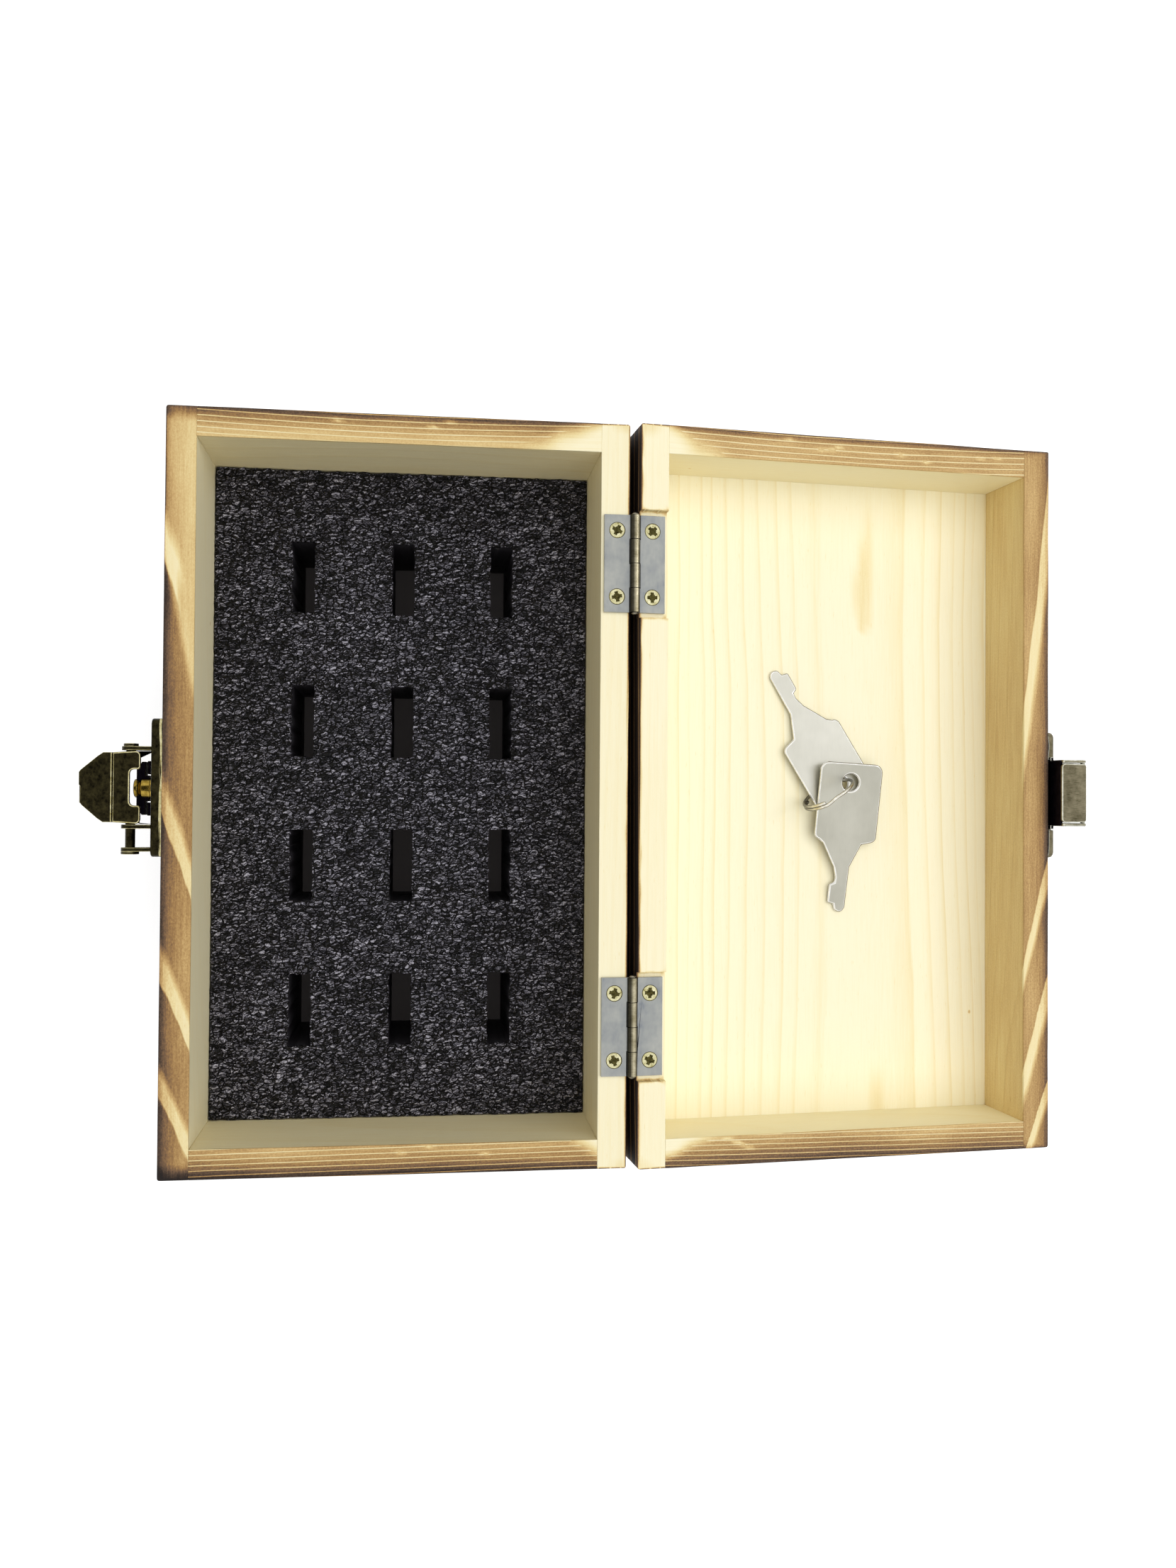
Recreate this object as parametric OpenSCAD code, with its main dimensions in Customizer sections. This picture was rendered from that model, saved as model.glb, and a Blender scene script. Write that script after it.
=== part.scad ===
// A hinged pine case for memory sticks: a torched wooden box whose lid folds right
// back, a foam insert with twelve upright slots, a lockable draw latch and two keys.
//
// The origin is the centre of the underside. +X runs along the hinges, the latch is on
// the -Y side, the hinges are on the +Y side, and the lid lies open behind them.

/* [Case] */
// Outside length of the case, along the hinges
case_length = 190; // [160:1:260]
// Outside depth of the case, from the latch side to the hinge side
case_depth = 115.5; // [100:0.5:160]
// Outside height of the base
base_height = 77; // [66:1:100]
// Outside height of the lid
lid_height = 26.7; // [25:0.1:40]
// Thickness of the front and back walls
wall = 7.4; // [6:0.1:12]
// Thickness of the two side walls
side_wall = 7.4; // [5:0.1:12]
// Thickness of the bottom panel
bottom_panel = 6; // [3:0.5:10]
// Thickness of the lid's panel
lid_panel = 6; // [3:0.5:8]

/* [Foam insert] */
// Depth from the rim of the base to the top of the foam
foam_drop = 29.3; // [20:0.1:36]
// Gap between the foam and the walls round it
foam_clearance = 0.3; // [0.3:0.1:1]
// Width of one slot
slot_width = 6; // [4.5:0.1:9]
// Length of one slot
slot_length = 19.4; // [12:0.1:26]
// Distance between the slot columns
slot_pitch_across = 26.7; // [18:0.1:30]
// Distance between the slot rows
slot_pitch_along = 38.9; // [28:0.1:40]
// Number of slot columns
slot_columns = 3; // [1:1:3]
// Number of slot rows
slot_rows = 4; // [1:1:4]

/* [Hinges] */
// Length of a hinge
hinge_length = 25; // [18:0.5:40]
// Distance of each hinge's middle from the end of the case
hinge_end = 36; // [33:1:50]
// Diameter of the knuckles
knuckle_diameter = 2.65; // [2.4:0.05:3]
// Diameter of the hinge pin
hinge_pin_diameter = 1.3; // [0.8:0.1:1.6]
// Radial clearance between the pin and the knuckles
pin_clearance = 0.03; // [0.01:0.01:0.1]
// Gap between neighbouring knuckles
knuckle_gap = 0.15; // [0.1:0.05:0.5]
// Width of a leaf beyond the knuckles
leaf_width = 6.6; // [5.8:0.1:7]
// Thickness of a leaf
leaf_thickness = 0.9; // [0.6:0.1:1]
// Distance of the hinge axis from the back face of the base
hinge_out = 1.25; // [1.1:0.05:2]
// Height of the hinge axis over the rim of the base
hinge_up = 1; // [1:0.05:1.4]
// Distance between the two screws of a leaf
leaf_screw_pitch = 17; // [11:0.5:20]
// Extra length of the mortise at each end of a lid leaf
mortise_clearance = 1.25; // [0.2:0.05:3]
// Gap left between the open lid and the back of the base
lid_rest_gap = 0.1; // [0.05:0.05:1]

/* [Screws] */
// Diameter of the head of a hinge screw
hinge_screw_head = 3.8; // [3:0.1:4.2]
// Diameter of the shank of a hinge screw
hinge_screw_shank = 1.8; // [1.4:0.1:2.4]
// Length of a hinge screw
hinge_screw_length = 10; // [6:0.5:14]
// Diameter of the head of a plate screw
plate_screw_head = 3.6; // [3:0.1:3.8]
// Diameter of the shank of a plate screw
plate_screw_shank = 1.8; // [1.4:0.1:2.2]
// Depth of a plate screw in the wood
plate_screw_bite = 5.5; // [4:0.5:6]
// Radial clearance between a screw and its hole
screw_clearance = 0.05; // [0.02:0.01:0.2]

/* [Latch plates] */
// Distance of the latch from the middle of the case
latch_place = -0.9; // [-10:0.1:10]
// Width of the latch plate
latch_plate_width = 34; // [32:0.5:44]
// Height of the latch plate
latch_plate_height = 30; // [29:0.5:44]
// Distance from the rim down to the latch plate
latch_plate_drop = 6.2; // [6.2:0.1:7]
// How far the latch plate stands off the wood
latch_plate_rise = 3.5; // [3:0.1:4]
// Thickness of the sheet that the plates are pressed from
sheet = 1; // [0.8:0.1:1.2]
// Width of the bevel round the latch plate
plate_bevel = 1.8; // [1:0.1:2]
// Width of the catch plate
catch_plate_width = 34.4; // [32:0.5:44]
// Height of the catch plate
catch_plate_height = 17; // [14:0.5:20]
// How far the catch plate stands off the wood
catch_plate_rise = 2.2; // [2:0.1:2.5]
// How far the catch tongue hangs past the rim
tongue_drop = 5.4; // [5:0.1:5.6]
// Half width of the tongue at its lip
tongue_half_width = 8.2; // [6:0.1:9]
// How far the lip of the tongue stands off the wood
lip_reach = 8.2; // [7.5:0.1:8.3]
// Height of the upturned edge of the lip
lip_turn = 1.9; // [1.5:0.1:2.2]

/* [Latch lever] */
// Distance of the lever's pivot from the wood
pivot_out = 9.1; // [9:0.1:9.6]
// Distance of the lever's pivot below the rim
pivot_down = 9; // [8.9:0.1:9.4]
// Diameter of the pivot rivets
rivet_diameter = 2.4; // [1.8:0.1:2.6]
// Half width of the lever at its prongs
lever_half_width = 9.1; // [8.8:0.1:9.1]
// Distance between the inner faces of the two ears, halved
ear_inner = 9.3; // [9.3:0.1:10]
// Width of the notch between the prongs
notch_width = 9; // [8.6:0.1:10]
// Depth of the notch between the prongs
notch_depth = 2.6; // [2:0.1:2.8]
// Slope of the bill below the face of the lever, in degrees
bill_slope = 14; // [8:1:18]
// Length of the bill beyond its crease
bill_length = 8.5; // [8.2:0.1:8.6]
// Width of the tip of the bill
bill_tip_width = 7.6; // [5:0.1:10]
// Angle that the lever turns through to close, in degrees
lever_close = 95; // [93:1:96]

/* [Draw hook] */
// Distance of the hook pin outward from the pivot
hook_pin_out = 3.95; // [3.8:0.05:4.1]
// Distance of the hook pin below the pivot
hook_pin_down = 0.4; // [0.3:0.05:0.5]
// Diameter of the hook pin
hook_pin_diameter = 1.4; // [1:0.1:1.6]
// Width of the draw hook
hook_width = 8; // [6:0.1:8.4]
// Thickness of the draw hook
hook_thickness = 0.8; // [0.6:0.1:0.9]
// Angle of the hook at rest, outward from hanging down, in degrees
hook_rest = 51; // [50:1:54]

/* [Lock] */
// Distance of the lock's axis below the rim
lock_down = 27.2; // [27.2:0.1:28]
// Diameter of the collar of the lock
collar_diameter = 6.4; // [6:0.1:6.8]
// Diameter of the plug inside the collar
plug_diameter = 5; // [4:0.1:5.2]
// Diameter of the nose of the plug
nose_diameter = 5.6; // [5.2:0.1:6]
// How far the nose stands off the wood
nose_out = 9.9; // [9.8:0.1:10.4]
// Length of each half of the locking bar
bar_length = 7; // [6.8:0.1:7.2]
// Radial clearance of the plug in its collar
plug_clearance = 0.05; // [0.02:0.01:0.1]

/* [Keys] */
// Thickness of a key
key_thickness = 0.9; // [0.7:0.1:1]
// Diameter of the hole in a key
key_hole = 4.8; // [4.4:0.1:5.2]
// Mean radius of the key ring
ring_radius = 7.2; // [7.1:0.1:7.3]
// Diameter of the wire of the key ring
ring_wire = 0.9; // [0.6:0.1:1]

/* [Hidden] */
$fn = 48;
eps = 0.01;

front_y = -case_depth / 2;
back_y = case_depth / 2;
inner_length = case_length - 2 * side_wall;
inner_depth = case_depth - 2 * wall;
hinge_place = case_length / 2 - hinge_end;
base_wall_height = base_height - bottom_panel;
foam_height = base_wall_height - foam_drop;
lid_wall_height = lid_height - lid_panel;

// The open lid leans on the back of the base, so its dip follows from the hinge.
lid_dip = asin((2 * hinge_out - lid_rest_gap) / (lid_height - hinge_up));
axis_y = back_y + hinge_out;
axis_z = base_height + hinge_up;
lid_y = axis_y + hinge_out * cos(lid_dip) + hinge_up * sin(lid_dip);
lid_z = axis_z - hinge_out * sin(lid_dip) + hinge_up * cos(lid_dip);

// A hinge has four knuckles: base, lid, base, lid, counted from -X.
knuckle_count = 4;
knuckle_step = hinge_length / knuckle_count;
leaf_reach = knuckle_diameter / 2 + leaf_width;
leaf_screw_out = knuckle_diameter / 2 + leaf_width / 2;
mortise_depth = hinge_up * 2;
pin_head = 0.9;
pin_stand = 0.05;

// The lever's profile, measured from its pivot.
face_rise = 1.5;
prong_reach = 2.8;
crease_out = 4;
crease_half_width = lever_half_width - 0.4;
cheek_outer = crease_half_width;
cheek_inner = cheek_outer - sheet;
hook_pin_out_all = pivot_out + hook_pin_out;
hook_pin_down_all = pivot_down + hook_pin_down;
outer_ear = 15;
ear_boss = 2.2;
rivet_head = 0.7;
short_rivet_head = 3.6;
long_rivet_head = 4.4;

// The hook is drawn from its pin: its length follows from the closed lever, where the
// curl has to pass just over the upturned edge of the catch.
hook_lap = 0.2;
closed_pin_down = pivot_down + hook_pin_out * sin(lever_close) + hook_pin_down * cos(lever_close);
lip_edge_down = tongue_drop - lip_turn;
hook_reach = closed_pin_down - lip_edge_down + hook_lap;
hook_nib = 1.6;
hook_mouth = 1.8;
hook_eye = 1.5;

window_half = 5;
window_top = 7.4;
window_bottom = 22.9;
plate_screw_inset = 4.4;
bar_out = nose_out - sheet - 0.05;
bar_width = 3;
bar_hub = 0.7;
collar_out = 7.6;
plug_root = 1.6;

// Keys: each lies from its tail on the floor of the lid up to the ring, which passes
// through both heads, so their places, turns and lifts belong together.
key_slot = 1.2;
key_length = 41.8;
key_half_width = 9.2;
key_hole_place = 36.4;
key_a_tail = [-34.71, 43.25];
key_a_turn = -58.7;
key_a_lift = 3.23;
key_b_tail = [32, 62.6];
key_b_turn = 87;
key_b_lift = 6.95;
key_floor_gap = 0.03;
ring_middle = [-1.8, 56.75];
ring_turn = 117.4;
ring_lean = 78.9;
ring_overlap = 110;

function arc(x, y, r, from, to, steps) =
    [for (i = [0:steps]) let (a = from + (to - from) * i / steps) [x + r * cos(a), y + r * sin(a)]];

// Placement helpers

// Things on the front of the base: profiles in (distance off the wood, height).
module on_front(from_x, to_x) {
    translate([latch_place + from_x, front_y, 0]) mirror([0, 1, 0]) rotate([90, 0, 90])
        linear_extrude(to_x - from_x) children();
}

module front_rod(from_x, to_x, out, down, d) {
    translate([latch_place + from_x, front_y - out, base_height - down]) rotate([0, 90, 0])
        cylinder(d = d, h = to_x - from_x);
}

// A rod that stands straight off the front of the base.
module front_stud(x, down, from_out, to_out, d) {
    translate([latch_place + x, front_y - from_out, base_height - down]) rotate([90, 0, 0])
        cylinder(d = d, h = to_out - from_out);
}

// The lid's own frame: y runs from its hinge edge, z is up from its rim.
module in_lid() {
    translate([0, lid_y, lid_z]) rotate([-lid_dip, 0, 0]) children();
}

module on_catch(from_x, to_x) {
    translate([latch_place + from_x, case_depth, 0]) rotate([90, 0, 90])
        linear_extrude(to_x - from_x) children();
}

// A countersunk screw along -z with its flat top at the origin.
module screw(head, shank, rise, length) {
    difference() {
        union() {
            rotate_extrude() polygon([
                [0, 0], [head / 2, 0], [shank / 2, -rise], [shank / 2, -length + shank / 2],
                [0, -length]
            ]);
        }
        for (turn = [0, 90]) {
            rotate([0, 0, turn]) translate([0, 0, -0.2])
                cube([head * 0.6, head * 0.15, 0.5], center = true);
        }
    }
}

module screw_hole(head, shank, rise, length) {
    rotate_extrude() polygon([
        [0, 1], [head / 2 + screw_clearance, 1], [head / 2 + screw_clearance, 0],
        [shank / 2 + screw_clearance, -rise], [shank / 2 + screw_clearance, -length - 0.5],
        [0, -length - 0.5]
    ]);
}

// Base

module hinge_screw_places() {
    for (side = [-1, 1], end = [-1, 1]) {
        translate([side * hinge_place + end * leaf_screw_pitch / 2, 0, 0]) children();
    }
}

module base_hinge_screw_places() {
    hinge_screw_places()
        translate([0, axis_y - leaf_screw_out, base_height + leaf_thickness]) children();
}

module base_bottom_panel() {
    color("BurlyWood") translate([-case_length / 2, front_y, 0])
        cube([case_length, case_depth, bottom_panel]);
}

module base_front_wall() {
    color("Peru") difference() {
        translate([-case_length / 2, front_y, bottom_panel])
            cube([case_length, wall, base_wall_height]);
        plate_screw_places() plate_screw_hole(latch_plate_rise);
    }
}

module base_back_wall() {
    color("Peru") difference() {
        translate([-case_length / 2, back_y - wall, bottom_panel])
            cube([case_length, wall, base_wall_height]);
        base_hinge_screw_places()
            screw_hole(hinge_screw_head, hinge_screw_shank, leaf_thickness, hinge_screw_length);
    }
}

module base_side_wall(side) {
    color("Peru") translate([side > 0 ? inner_length / 2 : -case_length / 2, front_y + wall, bottom_panel])
        cube([side_wall, inner_depth, base_wall_height]);
}

module foam_insert() {
    color("DimGray") difference() {
        translate([-inner_length / 2 + foam_clearance, front_y + wall + foam_clearance, bottom_panel])
            cube([inner_length - 2 * foam_clearance, inner_depth - 2 * foam_clearance, foam_height]);
        for (row = [0:slot_rows - 1], column = [0:slot_columns - 1]) {
            translate([
                (row - (slot_rows - 1) / 2) * slot_pitch_along - slot_length / 2,
                (column - (slot_columns - 1) / 2) * slot_pitch_across - slot_width / 2,
                bottom_panel - 1
            ]) cube([slot_length, slot_width, foam_height + 2]);
        }
    }
}

// Lid

module lid_hinge_screw_places() {
    hinge_screw_places()
        translate([0, leaf_screw_out - hinge_out, -2 * hinge_up + leaf_thickness]) children();
}

module lid_top_panel() {
    color("BurlyWood") in_lid() translate([-case_length / 2, 0, -lid_height])
        cube([case_length, case_depth, lid_panel]);
}

module lid_front_wall() {
    color("Peru") in_lid() difference() {
        translate([-case_length / 2, case_depth - wall, -lid_wall_height])
            cube([case_length, wall, lid_wall_height]);
        catch_screw_places() plate_screw_hole(catch_plate_rise);
    }
}

module lid_back_wall() {
    color("Peru") in_lid() difference() {
        translate([-case_length / 2, 0, -lid_wall_height]) cube([case_length, wall, lid_wall_height]);
        for (side = [-1, 1]) {
            translate([
                side * hinge_place - hinge_length / 2 - mortise_clearance, -1, -mortise_depth
            ]) cube([hinge_length + 2 * mortise_clearance, wall + 2, mortise_depth + 1]);
        }
        lid_hinge_screw_places()
            screw_hole(hinge_screw_head, hinge_screw_shank, leaf_thickness, hinge_screw_length);
    }
}

module lid_side_wall(side) {
    color("Peru") in_lid()
        translate([side > 0 ? inner_length / 2 : -case_length / 2, wall, -lid_wall_height])
        cube([side_wall, inner_depth, lid_wall_height]);
}

// Hinges

module knuckle(index, x_mid, y, z, d, grow) {
    translate([x_mid - hinge_length / 2 + index * knuckle_step + knuckle_gap / 2 - grow, y, z])
        rotate([0, 90, 0]) cylinder(d = d, h = knuckle_step - knuckle_gap + 2 * grow);
}

module pin_bore(x_mid, y, z) {
    translate([x_mid - hinge_length / 2 - 1, y, z]) rotate([0, 90, 0])
        cylinder(d = hinge_pin_diameter + 2 * pin_clearance, h = hinge_length + 2);
}

module base_leaf(side) {
    x_mid = side * hinge_place;
    color("LightSlateGray") difference() {
        union() {
            translate([x_mid - hinge_length / 2, axis_y - leaf_reach, base_height])
                cube([hinge_length, leaf_reach, leaf_thickness]);
            for (index = [0, 2]) knuckle(index, x_mid, axis_y, axis_z, knuckle_diameter, 0);
        }
        for (index = [1, 3]) {
            knuckle(index, x_mid, axis_y, axis_z, knuckle_diameter + 2 * knuckle_gap, knuckle_gap);
        }
        pin_bore(x_mid, axis_y, axis_z);
        base_hinge_screw_places()
            screw_hole(hinge_screw_head, hinge_screw_shank, leaf_thickness, hinge_screw_length);
    }
}

module lid_leaf(side) {
    x_mid = side * hinge_place;
    color("LightSlateGray") in_lid() difference() {
        union() {
            translate([x_mid - hinge_length / 2, -hinge_out, -2 * hinge_up])
                cube([hinge_length, leaf_reach, leaf_thickness]);
            for (index = [1, 3]) knuckle(index, x_mid, -hinge_out, -hinge_up, knuckle_diameter, 0);
        }
        for (index = [0, 2]) {
            knuckle(index, x_mid, -hinge_out, -hinge_up, knuckle_diameter + 2 * knuckle_gap, knuckle_gap);
        }
        pin_bore(x_mid, -hinge_out, -hinge_up);
        lid_hinge_screw_places()
            screw_hole(hinge_screw_head, hinge_screw_shank, leaf_thickness, hinge_screw_length);
    }
}

module hinge_pin(side) {
    x_mid = side * hinge_place;
    color("Silver") translate([x_mid, axis_y, axis_z]) rotate([0, 90, 0]) {
        cylinder(d = hinge_pin_diameter, h = hinge_length + 2 * pin_stand, center = true);
        for (end = [-1, 1]) {
            translate([0, 0, end * (hinge_length / 2 + pin_stand)]) rotate([0, end > 0 ? 0 : 180, 0])
                rotate_extrude() polygon([
                    [0, -eps], [pin_head, -eps], [pin_head, 0.2], [pin_head * 0.7, 0.5], [0, 0.65]
                ]);
        }
    }
}

module hinge_base_screws() {
    color("Khaki") base_hinge_screw_places()
        screw(hinge_screw_head, hinge_screw_shank, leaf_thickness, hinge_screw_length);
}

module hinge_lid_screws() {
    color("Khaki") in_lid() lid_hinge_screw_places()
        screw(hinge_screw_head, hinge_screw_shank, leaf_thickness, hinge_screw_length);
}

// Plates

// A shallow pressed tray of the given size, open towards the wood, its middle raised.
module tray(width, bottom, top, rise, bevel) {
    intersection() {
        rotate([90, 0, 90]) translate([0, 0, -width / 2]) linear_extrude(width)
            polygon([[0, bottom], [rise, bottom + bevel], [rise, top - bevel], [0, top]]);
        translate([0, 0, bottom]) linear_extrude(top - bottom)
            polygon([[-width / 2, 0], [-width / 2 + bevel, rise], [width / 2 - bevel, rise], [width / 2, 0]]);
    }
}

module hollow_tray(width, bottom, top, rise, bevel) {
    difference() {
        tray(width, bottom, top, rise, bevel);
        translate([0, -eps, 0])
            tray(width - 2 * sheet, bottom + sheet, top - sheet, rise - sheet + eps, bevel);
    }
}

module plate_screw_places() {
    for (side = [-1, 1], row = [0, 1]) {
        translate([
            latch_place + side * (latch_plate_width / 2 - plate_screw_inset),
            front_y - latch_plate_rise,
            base_height - latch_plate_drop - plate_screw_inset
                - row * (latch_plate_height - 2 * plate_screw_inset)
        ]) rotate([90, 0, 0]) children();
    }
}

module catch_screw_places() {
    for (side = [-1, 1]) {
        translate([
            latch_place + side * (catch_plate_width / 2 - plate_screw_inset),
            case_depth + catch_plate_rise,
            -1 - catch_plate_height / 2
        ]) rotate([-90, 0, 0]) children();
    }
}

module plate_screw(rise) {
    screw(plate_screw_head, plate_screw_shank, sheet, rise + plate_screw_bite);
}

module plate_screw_hole(rise) {
    screw_hole(plate_screw_head, plate_screw_shank, sheet, rise + plate_screw_bite);
}

module ear(from_x, thickness) {
    difference() {
        on_front(from_x, from_x + thickness) {
            polygon([
                [latch_plate_rise - sheet, base_height - pivot_down - 4.5],
                [pivot_out, base_height - pivot_down - ear_boss],
                [pivot_out, base_height - pivot_down + ear_boss],
                [latch_plate_rise - sheet, base_height - pivot_down + 1]
            ]);
            translate([pivot_out, base_height - pivot_down]) circle(r = ear_boss);
        }
        front_rod(from_x - 1, from_x + thickness + 1, pivot_out, pivot_down,
            rivet_diameter + 2 * screw_clearance);
    }
}

module latch_backplate() {
    color("DarkOliveGreen") {
        difference() {
            translate([latch_place, front_y, 0]) mirror([0, 1, 0])
                hollow_tray(latch_plate_width, base_height - latch_plate_drop - latch_plate_height,
                    base_height - latch_plate_drop, latch_plate_rise, plate_bevel);
            on_front(-window_half, window_half)
                translate([-1, base_height - window_bottom])
                square([latch_plate_rise + 2, window_bottom - window_top]);
            front_stud(0, lock_down, -1, latch_plate_rise + 1, collar_diameter);
            plate_screw_places() plate_screw_hole(latch_plate_rise);
        }
        for (side = [-1, 1]) ear(side > 0 ? ear_inner : -ear_inner - sheet, sheet);
        ear(outer_ear, sheet);
    }
}

module latch_pivot_rivets() {
    color("Olive") {
        front_rod(-ear_inner - sheet, -cheek_inner + 0.3, pivot_out, pivot_down, rivet_diameter);
        front_rod(-ear_inner - sheet - rivet_head, -ear_inner - sheet, pivot_out, pivot_down,
            short_rivet_head);
        front_rod(cheek_inner - 0.3, outer_ear + sheet + eps, pivot_out, pivot_down, rivet_diameter);
        front_rod(outer_ear + sheet, outer_ear + sheet + rivet_head, pivot_out, pivot_down,
            long_rivet_head);
    }
}

module latch_screws() {
    color("Olive") plate_screw_places() plate_screw(latch_plate_rise);
}

// The lever's face: prongs towards the wood, a notch between them, a crease outward.
module lever_face() {
    corner = 1.2;
    inner_corner = 1;
    inside = pivot_out - prong_reach;
    notch_half = notch_width / 2;
    polygon(concat(
        arc(lever_half_width - corner, inside + corner, corner, 0, -90, 6),
        arc(notch_half + corner * 0.6, inside + corner * 0.6, corner * 0.6, -90, -180, 5),
        arc(notch_half - inner_corner, inside + notch_depth - inner_corner, inner_corner, 0, 90, 5),
        arc(-notch_half + inner_corner, inside + notch_depth - inner_corner, inner_corner, 90, 180, 5),
        arc(-notch_half - corner * 0.6, inside + corner * 0.6, corner * 0.6, 0, -90, 5),
        arc(-lever_half_width + corner, inside + corner, corner, -90, -180, 6),
        [[-crease_half_width, pivot_out + crease_out], [crease_half_width, pivot_out + crease_out]]
    ));
}

module lever_bill() {
    shoulder = bill_length * 0.42;
    tip_half = bill_tip_width / 2;
    polygon([
        [-crease_half_width, -0.2], [-crease_half_width, shoulder * 0.6],
        [-crease_half_width + 0.9, shoulder], [-tip_half - 0.6, bill_length - 0.5],
        [-tip_half, bill_length], [-0.6, bill_length], [-0.2, bill_length - 0.4],
        [tip_half, bill_length - 0.3], [tip_half + 0.7, bill_length - 0.8],
        [crease_half_width - 0.9, shoulder], [crease_half_width, shoulder * 0.6],
        [crease_half_width, -0.2]
    ]);
}

module cheek(from_x) {
    pivot_z = base_height - pivot_down;
    pin_z = base_height - hook_pin_down_all;
    on_front(from_x, from_x + sheet) {
        polygon([
            [pivot_out - ear_boss, pivot_z], [pivot_out - ear_boss, pivot_z + face_rise + eps],
            [pivot_out + crease_out, pivot_z + face_rise + eps],
            [hook_pin_out_all + 1.4, pin_z + 1], [hook_pin_out_all + 1.4, pin_z],
            [hook_pin_out_all, pin_z - 1.4], [pivot_out, pivot_z - ear_boss]
        ]);
        translate([pivot_out, pivot_z]) circle(r = ear_boss);
        translate([hook_pin_out_all, pin_z]) circle(r = 1.4);
    }
}

module latch_lever() {
    face_z = base_height - pivot_down + face_rise;
    color("DarkOliveGreen") difference() {
        union() {
            translate([latch_place, front_y, face_z]) mirror([0, 1, 0]) linear_extrude(sheet) lever_face();
            translate([latch_place, front_y - pivot_out - crease_out, face_z]) rotate([bill_slope, 0, 0])
                mirror([0, 1, 0]) linear_extrude(sheet) lever_bill();
            for (side = [-1, 1]) cheek(side > 0 ? cheek_inner : -cheek_outer);
        }
        front_rod(-cheek_outer - 1, cheek_outer + 1, pivot_out, pivot_down,
            rivet_diameter + 2 * screw_clearance);
        front_rod(-cheek_outer - 1, cheek_outer + 1, hook_pin_out_all, hook_pin_down_all, hook_pin_diameter);
    }
}

module latch_hook_pin() {
    color("Olive")
        front_rod(-cheek_outer, cheek_outer, hook_pin_out_all, hook_pin_down_all, hook_pin_diameter);
}

// The hook's profile from its pin: an eye, a straight shank and a curl at its far end.
module hook_profile() {
    difference() {
        union() {
            circle(r = hook_eye);
            square([hook_reach + hook_thickness, hook_thickness]);
            translate([hook_reach, -hook_mouth - hook_thickness])
                square([hook_thickness, hook_mouth + 2 * hook_thickness]);
            translate([hook_reach + hook_thickness - hook_nib, -hook_mouth - hook_thickness])
                square([hook_nib, hook_thickness]);
        }
        circle(d = hook_pin_diameter + 2 * screw_clearance);
    }
}

module draw_hook() {
    color("Olive")
        translate([
            latch_place - hook_width / 2, front_y - hook_pin_out_all, base_height - hook_pin_down_all
        ]) rotate([90 - hook_rest, 0, 0]) rotate([90, 0, 90]) linear_extrude(hook_width)
        rotate(180) hook_profile();
}

// Lock

module lock_collar() {
    color("DarkGoldenrod") difference() {
        front_stud(0, lock_down, plug_root, collar_out, collar_diameter);
        front_stud(0, lock_down, 0, collar_out + 1, plug_diameter + 2 * plug_clearance);
    }
}

module lock_plug() {
    color("Goldenrod") difference() {
        union() {
            front_stud(0, lock_down, plug_root - 1, collar_out + 1, plug_diameter);
            front_stud(0, lock_down, plug_root - 1, plug_root - plug_clearance, nose_diameter);
            front_stud(0, lock_down, collar_out + plug_clearance, nose_out, nose_diameter);
        }
        translate([latch_place - nose_diameter, front_y - nose_out - 1, base_height - lock_down - key_slot / 2])
            cube([2 * nose_diameter, 2.6, key_slot]);
    }
}

module lock_bar() {
    color("DarkOliveGreen") difference() {
        union() {
            front_stud(0, lock_down, bar_out, bar_out + sheet, nose_diameter + 2 * bar_hub);
            translate([
                latch_place - bar_length, front_y - bar_out - sheet, base_height - lock_down - bar_width / 2
            ]) cube([2 * bar_length, sheet, bar_width]);
        }
        front_stud(0, lock_down, bar_out - 1, bar_out + sheet + 1, nose_diameter);
    }
}

// Catch

module catch_plate() {
    lip_z = tongue_drop - sheet;
    color("Gray") in_lid() difference() {
        union() {
            translate([latch_place, case_depth, 0])
                hollow_tray(catch_plate_width, -1 - catch_plate_height, -1, catch_plate_rise, sheet);
            translate([latch_place, case_depth + catch_plate_rise, 0]) rotate([90, 0, 0]) linear_extrude(sheet)
                polygon([
                    [-tongue_half_width - 1.6, -2.5], [-tongue_half_width - 1.6, -1],
                    [-tongue_half_width, 1.5], [-tongue_half_width, tongue_drop],
                    [tongue_half_width, tongue_drop], [tongue_half_width, 1.5],
                    [tongue_half_width + 1.6, -1], [tongue_half_width + 1.6, -2.5]
                ]);
            on_catch(-tongue_half_width, tongue_half_width) {
                translate([catch_plate_rise - sheet, lip_z]) square([lip_reach - catch_plate_rise + sheet, sheet]);
                translate([lip_reach - sheet, tongue_drop - lip_turn]) square([sheet, lip_turn]);
            }
        }
        catch_screw_places() plate_screw_hole(catch_plate_rise);
    }
}

module catch_screws() {
    color("Gray") in_lid() catch_screw_places() plate_screw(catch_plate_rise);
}

// Keys

// A flat key with its tail at the origin and its head along +y.
module key_outline() {
    corner = 2.4;
    shoulder = 1.8;
    difference() {
        polygon(concat(
            [[0, 0], [1.2, 0.3], [1.9, 1.4], [2.1, 12.8], [5, 19.2]],
            arc(key_half_width - shoulder, 21.6, shoulder, -80, 0, 4),
            arc(key_half_width - corner, key_length - corner, corner, 0, 90, 6),
            arc(-key_half_width + corner, key_length - corner, corner, 90, 180, 6),
            arc(-key_half_width + shoulder, 22, shoulder, 180, 260, 4),
            [
                [-6.4, 19.2], [-2.6, 12.6], [-1.8, 9.8], [-1.9, 8.3], [-3.3, 7.8], [-3.4, 2.6],
                [-1.6, 2.2], [-1.2, 0.6]
            ]
        ));
        translate([0, key_hole_place]) circle(d = key_hole);
    }
}

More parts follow.
